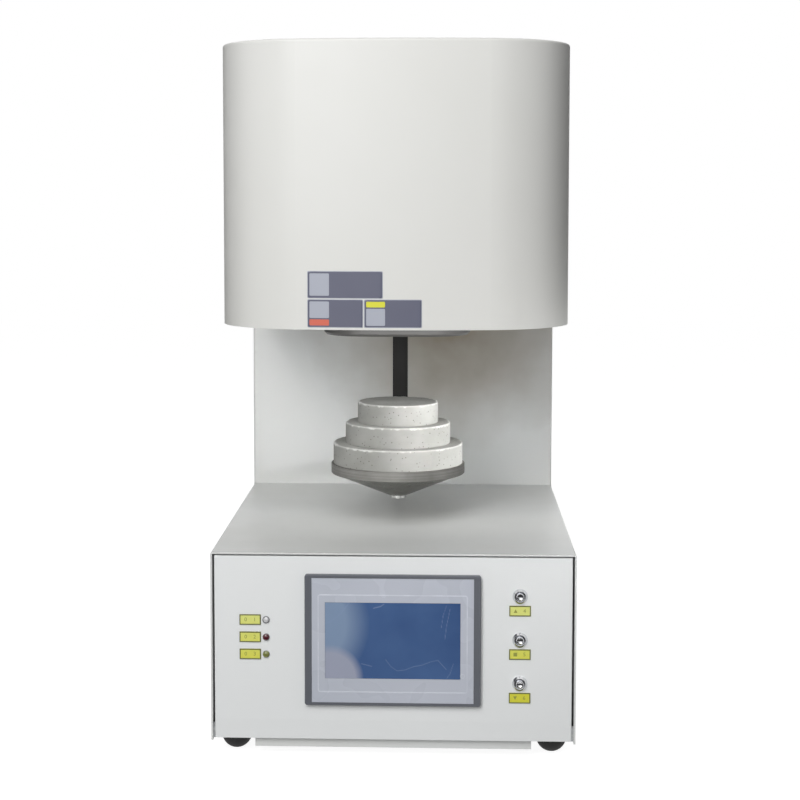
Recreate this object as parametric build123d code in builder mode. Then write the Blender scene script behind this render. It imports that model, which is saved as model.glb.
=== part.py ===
from build123d import *
import os
from math import asin, cos, degrees, radians, sin, sqrt

os.makedirs("parts", exist_ok=True)

# Dental sintering furnace that loads from below. A wide base holds the controls, a full
# width column stands behind it and carries the furnace head, and a lift in the column
# raises a stepped plug of fibre board into the head's throat.
# Sizes are in mm. X runs to the right, Y to the rear and Z up. The origin is on the bench
# under the middle of the furnace.

# ---------------------------------------------------------------- driving dimensions
width = 422
depth = 610
height = 832
half_width = width / 2
front_y = -depth / 2
rear_y = depth / 2

foot_height = 22
base_top = 241.5
head_bottom = 499
column_y = front_y + 465

sheet = 2
seam = 0.5
seam_gap = 0.3
bend_radius = 3
cover_bottom = foot_height - 2
floor_z = foot_height + sheet
press_gap = 0.03
running_gap = 0.05

# Front panel, set into the mouth of the base cover
panel_gap = 2.4
panel_recess = 1
panel_face_y = front_y + panel_recess
panel_back_y = panel_face_y + sheet
panel_half = half_width - sheet - panel_gap
panel_top = base_top - 4
panel_bottom = foot_height + 0.5
panel_crease = 45
panel_tuck = 1.1
panel_return = 14
panel_edge_radius = 1.5

# Vent slots, in rows of three across the case
vent_length = 70
vent_width = 5
vent_spacing = 90
vent_row = 14

# Touch panel
display_z = base_top - 100.8
display_width = 203
display_height = 153
display_proud = 6.5
display_front_y = panel_face_y - display_proud
cutout_width = 192
cutout_height = 140
face_width = 187
face_height = 146
screen_width = 156
screen_height = 89
display_corner = 3
display_frame = 10
pocket_depth = 2.4
face_gap = 0.2
face_sink = 0.5
screen_sink = 0.3
display_case_depth = 34

# Lamps and push buttons
lamp_x = -146.5
lamp_heights = [base_top - 78.7, base_top - 99.0, base_top - 119.1]
lamp_radius = 4.1
lamp_hole_radius = 3.6
lamp_rim = 1.2
lamp_wall = 0.9
lamp_body = 16
lens_seat = 4
lens_dome = 1.1
lamp_label_x = -165
label_width = 24.8
label_height = 12.3
label_thick = 0.6
button_x = 146.4
button_heights = [base_top - 48.7, base_top - 99.6, base_top - 150.7]
button_label_drop = 17
button_radius = 8.75
button_bore = 4.4
button_hole_radius = 6.6
button_proud = 4
button_slope = 2.8
button_funnel = 1.6
button_barrel = 20
button_nut_size = 17
button_nut_thick = 3.5
plunger_proud = 1.3
plunger_length = 18
dish_radius = 7.3
dish_depth = 0.7

# Head: a bowed front between two large round corners. It is a little narrower and lower
# than the column, and its rear edge stands inside the column's cover.
head_half = half_width - 5
head_top = height - 3
head_insert = 12
bow_radius = 900
corner_radius = 108
corner_x = head_half - corner_radius
bow_centre_y = front_y + bow_radius
corner_y = bow_centre_y - sqrt((bow_radius - corner_radius) ** 2 - corner_x**2)
corner_start = degrees(asin(corner_x / (bow_radius - corner_radius)))
head_edge_radius = 3
head_floor_z = head_bottom + 2

# Tray and plug, on one upright axis
tray_y = front_y + 228
plate_radius = 85
plate_thick = 12.5
plate_bottom = 299
plate_top = plate_bottom + plate_thick
tier_height = 26
tier_radii = [82.35, 66.75, 51.15]
cone_top_radius = 82.5
cone_bottom_radius = 12
cone_bottom = 269.5
cone_sheet = 1.2
tray_bolt_radius = 5
tray_bolt_reach = 8

# Throat and hot chamber
throat_bottom = 479.5
throat_size = 182
throat_corner = 50
step_gap = 1.8
chamber_radius = 75
can_radius = 160
can_sheet = 1.5
insulation_radius = can_radius - can_sheet - 0.3
insulation_bottom = head_floor_z + sheet
chamber_floor = 558.5
chamber_roof = 690
roof_top = 762
travel = throat_bottom - plate_top - 0.5

# Heating elements: hot wire in a U, with thick ends up through the roof
element_count = 4
element_radius = 58
element_half_width = 20
hot_wire_radius = 3
cold_end_radius = 6
element_bend_z = 612
element_top = 800

# Lift, in the column, a little left of the tray's axis
lift_x = -3
lift_y = 225
rod_x = 50
rod_radius = 8
screw_radius = 8
screw_end_radius = 5
beam_height = 20
lower_beam_z = 150
upper_beam_z = 522
beam_half_depth = 25
upright_inner = 165
upright_outer = 200
upright_wall = 2.5
carriage_half_width = 68
carriage_half_depth = 25
carriage_bottom = 247
carriage_top = 305
bearing_radius = 14
motor_shaft_radius = 4
motor_pilot_radius = 18.9
nut_length = 40
nut_flange = 8
nut_flange_radius = 21
arm_half_width = 8
arm_bottom = cone_bottom + cone_sheet
arm_top = arm_bottom + 16
arm_middle = (arm_top + arm_bottom) / 2
shutter_sheet = 1.2
shutter_width = 52
slot_half_width = 10.6
slot_bottom = 258
slot_top = 474

# Column sheets
column_face_y = column_y + 0.8
column_back_y = column_face_y + sheet
rear_face_y = rear_y - 2.5
rear_sheet = 1.5
rear_inner_y = rear_face_y - rear_sheet
cover_return = 18

# Rear fittings
fan_x = -110
fan_z = 130
fan_size = 92
fan_depth = 25
fan_bore = 43
fan_holes = fan_size - 10
guard_reach = display_proud - panel_recess + rear_y - rear_face_y
guard_wire = 1.2
inlet_x = 120
inlet_z = 80
inlet_width = 42.4
inlet_height = 24.4
inlet_depth = 24
inlet_flange = 2.5
inlet_flange_size = (50, 31)
socket_width = 34
socket_height = 18
socket_depth = 20
socket_corner = 2
pin_pitch = 10
pin_width = 2
pin_height = 8
pin_length = 30
pin_setback = 4
rocker_x = 120
rocker_z = 138
rocker_width = 21.8
rocker_height = 29.8
rocker_depth = 22
rocker_flange = 2
rocker_flange_size = (27, 36)
rocker_pivot_depth = 3
rocker_pin_radius = 1.5
rocker_tilt = 10

# Case screws, all the same pan head
screw_head_radius = 3.9
screw_head_height = 2.2
screw_shank_radius = 2
screw_hole_radius = 2.1
screw_length = 10
cross_length = 4.4
cross_width = 0.9
cross_depth = 1.3

# Feet
foot_x = 185.5
foot_inset = 40
foot_dome_radius = 18
foot_flat_radius = 4


def across(y):
    """Plane square to the depth at y, drawn in X and Z. Positive extrusion runs forward."""
    return Plane.XZ.offset(-y)


def side_plane(side, y, z):
    """Plane on the left (-1) or right (+1) side of the case, facing outwards."""
    return Plane(origin=(side * half_width, y, z), x_dir=(0, 1, 0), z_dir=(side, 0, 0))


def rear_plane(x, z):
    """Plane on the outer face of the rear panel, facing backwards."""
    return Plane(origin=(x, rear_face_y, z), x_dir=(-1, 0, 0), z_dir=(0, 1, 0))


base_screw_planes = [side_plane(s, y, 33) for s in (-1, 1) for y in (-265, -75, 120)]
column_screw_planes = [side_plane(s, y, 33) for s in (-1, 1) for y in (180, 280)]
rear_screw_planes = [
    rear_plane(x, z) for x in (-199, 199) for z in (50, 240, 430, 620, 800)
]


def cover_profile(bottom, top):
    """Inverted U of bent sheet, seen from the front."""
    with BuildSketch() as profile:
        with Locations((0, (top + bottom) / 2)):
            Rectangle(width, top - bottom)
        fillet(vertices().group_by(Axis.Y)[-1], bend_radius)
        with Locations((0, (top + bottom) / 2 - sheet)):
            Rectangle(width - 2 * sheet, top - bottom, mode=Mode.SUBTRACT)
    return profile.sketch


def head_plan(inset, back):
    """Plan of the head, drawn inwards of its outer face by inset, as far back as back."""
    radius = corner_radius - inset
    middle = (corner_start + 90) / 2

    def on_corner(side, angle):
        x = corner_x + radius * sin(radians(angle))
        return (side * x, corner_y - radius * cos(radians(angle)))

    with BuildSketch() as plan:
        with BuildLine():
            ThreePointArc(
                on_corner(-1, corner_start), (0, front_y + inset), on_corner(1, corner_start)
            )
            for side in (-1, 1):
                start = on_corner(side, corner_start)
                ThreePointArc(start, on_corner(side, middle), on_corner(side, 90))
                Line(on_corner(side, 90), (side * (head_half - inset), back))
            Line((inset - head_half, back), (head_half - inset, back))
        make_face()
    return plan.sketch


# ================================================================ base
floor_front = panel_back_y + 1.5
floor_rear = rear_inner_y
floor_length = floor_rear - floor_front
floor_middle = (floor_rear + floor_front) / 2
rim_top = foot_height + 18

# Flat floor plate of the base and column
with BuildPart() as base_floor:
    with BuildSketch(Plane.XY.offset(foot_height)):
        with Locations((0, floor_middle)):
            Rectangle(width - 2 * sheet, floor_length)
    extrude(amount=sheet)
    # air slots under the electronics
    with BuildSketch(Plane.XY.offset(foot_height)):
        with Locations((0, 60)):
            with GridLocations(vent_spacing, vent_row, 3, 6):
                SlotOverall(vent_length, vent_width)
    extrude(amount=sheet, mode=Mode.SUBTRACT)
    with BuildSketch(Plane.XY.offset(foot_height)):
        with GridLocations(2 * foot_x, depth - 2 * foot_inset, 2, 2):
            Circle(screw_hole_radius)
    extrude(amount=sheet, mode=Mode.SUBTRACT)
base_floor.part.label = "base_floor"
export_step(base_floor.part, "parts/base_floor.step")

# Rim welded round the floor plate, which the covers screw to
with BuildPart() as floor_rim:
    with BuildSketch(Plane.XY.offset(floor_z)):
        with Locations((0, floor_middle)):
            Rectangle(width - 2 * sheet, floor_length)
            Rectangle(width - 4 * sheet, floor_length - 2 * sheet, mode=Mode.SUBTRACT)
    extrude(amount=rim_top - floor_z)
    with BuildSketch(*base_screw_planes, *column_screw_planes):
        Circle(screw_hole_radius)
    extrude(amount=-3 * sheet, mode=Mode.SUBTRACT)
floor_rim.part.label = "floor_rim"
export_step(floor_rim.part, "parts/floor_rim.step")

# Shallow pan under the front half of the base, which catches air from the front
with BuildPart() as bottom_pan:
    pan_drop = 11
    pan_sheet = 1.2
    pan_width = 321
    pan_length = 210
    pan_setback = 8
    pan_middle = front_y + pan_setback + pan_length / 2
    with BuildSketch(Plane.XY.offset(foot_height - pan_drop)):
        with Locations((0, pan_middle)):
            Rectangle(pan_width, pan_length)
    extrude(amount=pan_drop)
    with BuildSketch(Plane.XY.offset(foot_height - pan_drop + pan_sheet)):
        with Locations((0, pan_middle)):
            Rectangle(pan_width - 2 * pan_sheet, pan_length - 2 * pan_sheet)
    extrude(amount=pan_drop, mode=Mode.SUBTRACT)
    with BuildSketch(Plane.XY.offset(foot_height - pan_drop)):
        with Locations((0, pan_middle)):
            with GridLocations(vent_spacing, 1.5 * vent_row, 3, 5):
                SlotOverall(vent_length, vent_width)
    extrude(amount=pan_sheet, mode=Mode.SUBTRACT)
bottom_pan.part.label = "bottom_pan"
export_step(bottom_pan.part, "parts/bottom_pan.step")

# Cover of the base: top and both sides in one bent sheet
with BuildPart() as base_cover:
    with BuildSketch(across(front_y)):
        add(cover_profile(cover_bottom, base_top))
    extrude(amount=front_y + seam - column_y)
    with BuildSketch(*base_screw_planes):
        Circle(screw_hole_radius)
    extrude(amount=-2 * sheet, mode=Mode.SUBTRACT)
base_cover.part.label = "base_cover"
export_step(base_cover.part, "parts/base_cover.step")

# Front panel: face with a tucked lower lip, and a return along its top and sides
with BuildPart() as front_panel:
    with BuildSketch(Plane.YZ.offset(-panel_half)):
        with BuildLine():
            Polyline(
                (panel_face_y, panel_top),
                (panel_face_y, panel_crease),
                (panel_face_y + panel_tuck, panel_bottom),
                (panel_back_y + panel_tuck, panel_bottom),
                (panel_back_y, panel_crease),
                (panel_back_y, panel_top - sheet),
                (panel_face_y + panel_return, panel_top - sheet),
                (panel_face_y + panel_return, panel_top),
                close=True,
            )
        make_face()
    extrude(amount=2 * panel_half)
    return_height = panel_top - panel_crease
    with BuildSketch(across(panel_face_y)):
        for side in (-1, 1):
            with Locations((side * (panel_half - sheet / 2), panel_top - return_height / 2)):
                Rectangle(sheet, return_height)
    extrude(amount=-panel_return)
    fillet(edges().filter_by(Axis.Z).group_by(Axis.Y)[0], panel_edge_radius)
    with BuildSketch(across(panel_face_y)):
        with Locations((0, display_z)):
            Rectangle(cutout_width, cutout_height)
        with Locations([(lamp_x, z) for z in lamp_heights]):
            Circle(lamp_hole_radius)
        with Locations([(button_x, z) for z in button_heights]):
            Circle(button_hole_radius)
    extrude(amount=-sheet, mode=Mode.SUBTRACT)
front_panel.part.label = "front_panel"
export_step(front_panel.part, "parts/front_panel.step")

# Domed rubber feet, each with a blind hole for its screw
with BuildPart() as rubber_feet:
    foot_middle = sqrt(foot_dome_radius**2 - foot_flat_radius**2)
    dome_angle = radians(45)
    dome_point = (
        foot_dome_radius * cos(dome_angle),
        foot_middle - foot_dome_radius * sin(dome_angle),
    )
    for x in (-foot_x, foot_x):
        for y in (front_y + foot_inset, rear_y - foot_inset):
            with BuildSketch(Plane(origin=(x, y, 0), x_dir=(1, 0, 0), z_dir=(0, -1, 0))):
                with BuildLine():
                    Line((0, 0), (foot_flat_radius, 0))
                    ThreePointArc(
                        (foot_flat_radius, 0), dome_point, (foot_dome_radius, foot_middle)
                    )
                    Line((foot_dome_radius, foot_middle), (foot_dome_radius, foot_height))
                    Line((foot_dome_radius, foot_height), (0, foot_height))
                    Line((0, foot_height), (0, 0))
                make_face()
            revolve(axis=Axis(origin=(x, y, 0), direction=(0, 0, 1)))
    with BuildSketch(Plane.XY.offset(foot_height)):
        with GridLocations(2 * foot_x, depth - 2 * foot_inset, 2, 2):
            Circle(screw_shank_radius + press_gap)
    extrude(amount=-screw_length, mode=Mode.SUBTRACT)
rubber_feet.part.label = "rubber_feet"
export_step(rubber_feet.part, "parts/rubber_feet.step")

# Pan-head screws of the covers, the rear panel and the feet
foot_screw_planes = [
    Plane(origin=(x, y, floor_z), z_dir=(0, 0, 1))
    for x in (-foot_x, foot_x)
    for y in (front_y + foot_inset, rear_y - foot_inset)
]
screw_planes = (
    base_screw_planes + column_screw_planes + rear_screw_planes + foot_screw_planes
)
with BuildPart() as case_screws:
    with BuildSketch(*screw_planes):
        Circle(screw_head_radius)
    extrude(amount=screw_head_height)
    with BuildSketch(*screw_planes):
        Circle(screw_shank_radius)
    extrude(amount=sheet - screw_length)
    with BuildSketch(*[plane.offset(screw_head_height) for plane in screw_planes]):
        Rectangle(cross_length, cross_width)
        Rectangle(cross_width, cross_length)
    extrude(amount=-cross_depth, mode=Mode.SUBTRACT)
case_screws.part.label = "case_screws"
export_step(case_screws.part, "parts/case_screws.step")

# ================================================================ touch panel
# Bezel: a dark frame with a shallow pocket, open at the back for the case
with BuildPart() as touch_panel_bezel:
    with BuildSketch(across(panel_face_y)):
        with Locations((0, display_z)):
            RectangleRounded(display_width, display_height, display_corner)
    extrude(amount=display_proud)
    chamfer(faces().sort_by(Axis.Y)[0].edges(), 1)
    with BuildSketch(across(display_front_y)):
        with Locations((0, display_z)):
            Rectangle(face_width, face_height)
    extrude(amount=-pocket_depth, mode=Mode.SUBTRACT)
    with BuildSketch(across(panel_face_y)):
        with Locations((0, display_z)):
            Rectangle(cutout_width - 2 * display_frame, cutout_height - 2 * display_frame)
    extrude(amount=display_proud, mode=Mode.SUBTRACT)
touch_panel_bezel.part.label = "touch_panel_bezel"
export_step(touch_panel_bezel.part, "parts/touch_panel_bezel.step")

# Face plate in the bezel's pocket, with the window of the screen
face_front_y = display_front_y + face_sink
face_thick = pocket_depth - face_sink
with BuildPart() as touch_panel_face:
    with BuildSketch(across(face_front_y)):
        with Locations((0, display_z)):
            Rectangle(face_width - 2 * face_gap, face_height - 2 * face_gap)
            Rectangle(screen_width, screen_height, mode=Mode.SUBTRACT)
    extrude(amount=-face_thick)
touch_panel_face.part.label = "touch_panel_face"
export_step(touch_panel_face.part, "parts/touch_panel_face.step")

with BuildPart() as touch_panel_screen:
    with BuildSketch(across(face_front_y + screen_sink)):
        with Locations((0, display_z)):
            Rectangle(screen_width - 2 * face_gap, screen_height - 2 * face_gap)
    extrude(amount=screen_sink - face_thick)
touch_panel_screen.part.label = "touch_panel_screen"
export_step(touch_panel_screen.part, "parts/touch_panel_screen.step")

# Electronics case behind the panel. Its display module fills the frame of the bezel, and
# vent slots cross its top.
with BuildPart() as touch_panel_case:
    with BuildSketch(across(panel_face_y)):
        with Locations((0, display_z)):
            Rectangle(cutout_width - 2, cutout_height - 2)
    extrude(amount=-display_case_depth)
    fillet(edges().filter_by(Axis.Y), display_corner)
    module_inset = 2 * (display_frame + face_gap)
    with BuildSketch(across(panel_face_y)):
        with Locations((0, display_z)):
            Rectangle(cutout_width - module_inset, cutout_height - module_inset)
    extrude(amount=display_proud - pocket_depth - face_gap)
    vent_count = 15
    vent_slot = (4, 18)
    with BuildSketch(Plane.XY.offset(display_z + cutout_height / 2 - 1)):
        with Locations((0, panel_face_y + 20)):
            with GridLocations(10, 0, vent_count, 1):
                Rectangle(*vent_slot)
    extrude(amount=-4, mode=Mode.SUBTRACT)
touch_panel_case.part.label = "touch_panel_case"
export_step(touch_panel_case.part, "parts/touch_panel_case.step")

# ================================================================ lamps
with BuildPart() as lamp_holders:
    with BuildSketch(across(panel_face_y)):
        with Locations([(lamp_x, z) for z in lamp_heights]):
            Circle(lamp_radius)
    extrude(amount=lamp_rim)
    with BuildSketch(across(panel_face_y)):
        with Locations([(lamp_x, z) for z in lamp_heights]):
            Circle(lamp_hole_radius - running_gap)
    extrude(amount=-lamp_body)
    with BuildSketch(across(panel_face_y - lamp_rim)):
        with Locations([(lamp_x, z) for z in lamp_heights]):
            Circle(lamp_radius - lamp_wall)
    extrude(amount=-lens_seat, mode=Mode.SUBTRACT)
lamp_holders.part.label = "lamp_holders"
export_step(lamp_holders.part, "parts/lamp_holders.step")


def lamp_lens(z):
    """Round lens that fills a lamp holder and stands out of it as a low dome."""
    lens_radius = lamp_radius - lamp_wall - running_gap
    seat_y = panel_face_y - lamp_rim + lens_seat
    rim_y = panel_face_y - lamp_rim + 0.2
    dome_radius = (lens_radius**2 + lens_dome**2) / (2 * lens_dome)
    half_angle = asin(lens_radius / dome_radius) / 2
    bulge_y = rim_y - lens_dome + dome_radius * (1 - cos(half_angle))
    with BuildPart() as lens:
        with BuildSketch(Plane.YZ.offset(lamp_x)):
            with BuildLine():
                Line((seat_y, z), (seat_y, z + lens_radius))
                Line((seat_y, z + lens_radius), (rim_y, z + lens_radius))
                ThreePointArc(
                    (rim_y, z + lens_radius),
                    (bulge_y, z + dome_radius * sin(half_angle)),
                    (rim_y - lens_dome, z),
                )
                Line((rim_y - lens_dome, z), (seat_y, z))
            make_face()
        revolve(axis=Axis(origin=(lamp_x, 0, z), direction=(0, 1, 0)))
    return lens


clear_lamp_lens = lamp_lens(lamp_heights[0])
clear_lamp_lens.part.label = "clear_lamp_lens"
export_step(clear_lamp_lens.part, "parts/clear_lamp_lens.step")

red_lamp_lens = lamp_lens(lamp_heights[1])
red_lamp_lens.part.label = "red_lamp_lens"
export_step(red_lamp_lens.part, "parts/red_lamp_lens.step")

amber_lamp_lens = lamp_lens(lamp_heights[2])
amber_lamp_lens.part.label = "amber_lamp_lens"
export_step(amber_lamp_lens.part, "parts/amber_lamp_lens.step")

# ================================================================ push buttons
# Conical metal bezels, each with a barrel through the panel and a nut behind it
with BuildPart() as button_housings:
    barrel_radius = button_hole_radius - 2 * running_gap
    for z in button_heights:
        with BuildSketch(Plane.YZ.offset(button_x)):
            with BuildLine():
                Polyline(
                    (panel_face_y - button_proud + button_funnel, z + button_bore),
                    (panel_face_y - button_proud, z + button_bore + button_funnel),
                    (panel_face_y - button_proud, z + button_radius - 2.2),
                    (panel_face_y - button_proud + button_slope, z + button_radius),
                    (panel_face_y, z + button_radius),
                    (panel_face_y, z + barrel_radius),
                    (panel_face_y + button_barrel, z + barrel_radius),
                    (panel_face_y + button_barrel, z + button_bore),
                    close=True,
                )
            make_face()
        revolve(axis=Axis(origin=(button_x, 0, z), direction=(0, 1, 0)))
    with BuildSketch(across(panel_back_y)):
        with Locations([(button_x, z) for z in button_heights]):
            RegularPolygon(button_nut_size / 2, 6, major_radius=False)
            Circle(barrel_radius + running_gap, mode=Mode.SUBTRACT)
    extrude(amount=-button_nut_thick)
button_housings.part.label = "button_housings"
export_step(button_housings.part, "parts/button_housings.step")


def plunger(z):
    """Button that slides in its housing: a dished face on a stem."""
    face_y = panel_face_y - button_proud - plunger_proud
    radius = button_bore - running_gap
    with BuildPart() as button:
        with BuildSketch(across(face_y)):
            with Locations((button_x, z)):
                Circle(radius)
        extrude(amount=-plunger_length)
        chamfer(faces().sort_by(Axis.Y)[0].edges(), 0.5)
        with Locations(Location((button_x, face_y - dish_radius + dish_depth, z))):
            Sphere(dish_radius, mode=Mode.SUBTRACT)
    return button


raise_button = plunger(button_heights[0])
raise_button.part.label = "raise_button"
export_step(raise_button.part, "parts/raise_button.step")

stop_button = plunger(button_heights[1])
stop_button.part.label = "stop_button"
export_step(stop_button.part, "parts/stop_button.step")

lower_button = plunger(button_heights[2])
lower_button.part.label = "lower_button"
export_step(lower_button.part, "parts/lower_button.step")

# Six equal label plates: one beside each lamp and one below each button
label_places = [(lamp_label_x, z) for z in lamp_heights]
label_places += [(button_x, z - button_label_drop) for z in button_heights]
with BuildPart() as label_plates:
    with BuildSketch(across(panel_face_y)):
        with Locations(label_places):
            RectangleRounded(label_width, label_height, 0.8)
    extrude(amount=label_thick)
label_plates.part.label = "label_plates"
export_step(label_plates.part, "parts/label_plates.step")

# ================================================================ electrics in the base
# Step-down transformer: a laminated core, and a coil round its middle leg
with BuildPart() as transformer:
    core_x = 125
    core_y = -115
    core_unit = 25
    core_size = 5 * core_unit
    core_stack = 70
    coil_height = 3 * core_unit - 2
    with BuildSketch(across(core_y - core_stack / 2)):
        with Locations((core_x, floor_z + core_size / 2)):
            Rectangle(core_size, core_size)
            with GridLocations(2 * core_unit, 0, 2, 1):
                Rectangle(core_unit, 3 * core_unit, mode=Mode.SUBTRACT)
    extrude(amount=-core_stack)
    with BuildSketch(Plane.XY.offset(floor_z + core_unit + 1)):
        with Locations((core_x, core_y)):
            RectangleRounded(3 * core_unit - 1, core_stack + 42, 8)
            Rectangle(core_unit + 0.2, core_stack + 0.2, mode=Mode.SUBTRACT)
    extrude(amount=coil_height)
transformer.part.label = "transformer"
export_step(transformer.part, "parts/transformer.step")

# Thyristor power controller on its finned heat sink
with BuildPart() as power_controller:
    sink_x = -140
    sink_y = -110
    sink_height = 110
    sink_base = 12
    fin_count = 9
    fin_pitch = 12
    fin_length = 38
    with BuildSketch(Plane.XY.offset(floor_z)):
        with Locations((sink_x, sink_y)):
            Rectangle(fin_pitch * (fin_count - 1) + 4, sink_base)
            with Locations((0, (sink_base + fin_length) / 2 - 1)):
                with GridLocations(fin_pitch, 0, fin_count, 1):
                    Rectangle(3, fin_length)
    extrude(amount=sink_height)
    with BuildSketch(across(sink_y - sink_base / 2)):
        with Locations((sink_x, floor_z + sink_height / 2)):
            Rectangle(46, 80)
    extrude(amount=28)
power_controller.part.label = "power_controller"
export_step(power_controller.part, "parts/power_controller.step")

# Control board on four standoffs
with BuildPart() as control_board:
    board_middle = (-20, -120)
    board_size = (112, 142)
    board_thick = 1.6
    standoff = 12
    with BuildSketch(Plane.XY.offset(floor_z)):
        with Locations(board_middle):
            with GridLocations(board_size[0] - 12, board_size[1] - 12, 2, 2):
                Circle(3.5)
    extrude(amount=standoff)
    with BuildSketch(Plane.XY.offset(floor_z + standoff)):
        with Locations(board_middle):
            Rectangle(*board_size)
    extrude(amount=board_thick)
    # relay, small transformer and terminal strip
    with BuildSketch(Plane.XY.offset(floor_z + standoff + board_thick)):
        with Locations(board_middle):
            with Locations((-25, -30)):
                Rectangle(32, 24)
            with Locations((30, -30)):
                Rectangle(40, 30)
            with Locations((0, 54)):
                Rectangle(90, 10)
    extrude(amount=16)
control_board.part.label = "control_board"
export_step(control_board.part, "parts/control_board.step")

# ================================================================ column
# Front sheet of the column between base and head. Its edges are bent back and make the
# front corners of the column, and its lower end tucks in behind the base cover.
wrap_depth = 14
wrap_bottom = base_top + seam_gap
wrap_top = head_bottom - seam_gap
with BuildPart() as column_front:
    tuck_bottom = base_top - 14
    tuck_half = half_width - sheet - seam_gap
    with BuildSketch(Plane.XY.offset(wrap_bottom)):
        with Locations((0, column_face_y + wrap_depth / 2)):
            Rectangle(width, wrap_depth)
        fillet(vertices().group_by(Axis.Y)[0], bend_radius)
        with Locations((0, column_back_y + wrap_depth / 2)):
            Rectangle(width - 2 * sheet, wrap_depth, mode=Mode.SUBTRACT)
    extrude(amount=wrap_top - wrap_bottom)
    with BuildSketch(across(column_face_y)):
        with Locations((0, (wrap_top + tuck_bottom) / 2)):
            Rectangle(2 * tuck_half, wrap_top - tuck_bottom)
    extrude(amount=-sheet)
    with BuildSketch(across(column_face_y)):
        with Locations((lift_x, (slot_top + slot_bottom) / 2)):
            Rectangle(2 * slot_half_width, slot_top - slot_bottom)
    extrude(amount=-sheet, mode=Mode.SUBTRACT)
column_front.part.label = "column_front"
export_step(column_front.part, "parts/column_front.step")

# Cover of the column, cut out for the bent edges of its front sheet, with a return inside
# each rear edge for the rear panel
with BuildPart() as column_cover:
    with BuildSketch(across(column_y)):
        add(cover_profile(cover_bottom, height))
    extrude(amount=column_y - rear_y)
    wrap_cut = column_face_y + wrap_depth + seam_gap - column_y
    with BuildSketch(Plane.XY.offset(base_top)):
        with Locations((0, column_y + wrap_cut / 2)):
            Rectangle(width, wrap_cut)
    extrude(amount=head_bottom - base_top, mode=Mode.SUBTRACT)
    with BuildSketch(across(rear_inner_y)):
        return_bottom = rim_top + 4
        return_top = height - 2 * sheet
        for side in (-1, 1):
            edge_x = half_width - sheet - cover_return / 2
            with Locations((side * edge_x, (return_top + return_bottom) / 2)):
                Rectangle(cover_return, return_top - return_bottom)
    extrude(amount=sheet)
    with BuildSketch(*column_screw_planes, *rear_screw_planes):
        Circle(screw_hole_radius)
    extrude(amount=-2.5 * sheet, mode=Mode.SUBTRACT)
column_cover.part.label = "column_cover"
export_step(column_cover.part, "parts/column_cover.step")

# Rear panel, with louvres high and low and the cut-outs of the rear fittings
with BuildPart() as rear_panel:
    rear_bottom = foot_height + 1.5
    rear_top = height - sheet - 1.5
    with BuildSketch(across(rear_inner_y)):
        with Locations((0, (rear_top + rear_bottom) / 2)):
            Rectangle(2 * (half_width - sheet - 1), rear_top - rear_bottom)
        for middle, rows in ((700, 10), (300, 6)):
            with Locations((0, middle)):
                with GridLocations(vent_spacing, vent_row, 3, rows):
                    SlotOverall(vent_length, vent_width, mode=Mode.SUBTRACT)
        with Locations((fan_x, fan_z)):
            Circle(fan_bore, mode=Mode.SUBTRACT)
        with Locations((inlet_x, inlet_z)):
            Rectangle(inlet_width + 0.6, inlet_height + 0.6, mode=Mode.SUBTRACT)
        with Locations((rocker_x, rocker_z)):
            Rectangle(rocker_width + 0.6, rocker_height + 0.6, mode=Mode.SUBTRACT)
    extrude(amount=-rear_sheet)
    with BuildSketch(*rear_screw_planes):
        Circle(screw_hole_radius)
    extrude(amount=-2 * rear_sheet, mode=Mode.SUBTRACT)
rear_panel.part.label = "rear_panel"
export_step(rear_panel.part, "parts/rear_panel.step")

# Two folded channel uprights that carry the lift and the head
with BuildPart() as uprights:
    upright_depth = lift_y + beam_half_depth - column_back_y
    upright_middle_y = column_back_y + upright_depth / 2
    upright_top = height - 16
    for side in (-1, 1):
        with BuildSketch(Plane.XY.offset(floor_z)):
            with Locations((side * (upright_inner + upright_outer) / 2, upright_middle_y)):
                Rectangle(upright_outer - upright_inner, upright_depth)
            with Locations((side * (upright_outer + upright_wall), upright_middle_y)):
                Rectangle(
                    2 * (upright_outer - upright_inner),
                    upright_depth - 2 * upright_wall,
                    mode=Mode.SUBTRACT,
                )
        extrude(amount=upright_top - floor_z)
uprights.part.label = "uprights"
export_step(uprights.part, "parts/uprights.step")

# ================================================================ rear fittings
# Appliance inlet: a flanged body with a recess, and three flat pins through its floor
with BuildPart() as mains_inlet:
    inlet_place = (inlet_x, inlet_z)
    inlet_front_y = rear_face_y + inlet_flange
    socket_floor_y = inlet_front_y - socket_depth
    pin_places = [(inlet_x + pin_pitch * step, inlet_z) for step in (-1, 0, 1)]
    with BuildSketch(across(rear_face_y)):
        with Locations(inlet_place):
            RectangleRounded(*inlet_flange_size, 3)
    extrude(amount=-inlet_flange)
    with BuildSketch(across(rear_face_y)):
        with Locations(inlet_place):
            Rectangle(inlet_width, inlet_height)
    extrude(amount=inlet_depth)
    with BuildSketch(across(inlet_front_y)):
        with Locations(inlet_place):
            RectangleRounded(socket_width, socket_height, socket_corner)
    extrude(amount=socket_depth, mode=Mode.SUBTRACT)
    with BuildSketch(across(socket_floor_y)):
        with Locations(pin_places):
            Rectangle(pin_width + 2 * press_gap, pin_height + 2 * press_gap)
    extrude(amount=inlet_depth + inlet_flange - socket_depth, mode=Mode.SUBTRACT)
    with BuildSketch(across(inlet_front_y - pin_setback)):
        with Locations(pin_places):
            Rectangle(pin_width, pin_height)
    extrude(amount=pin_length)
mains_inlet.part.label = "mains_inlet"
export_step(mains_inlet.part, "parts/mains_inlet.step")

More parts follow.
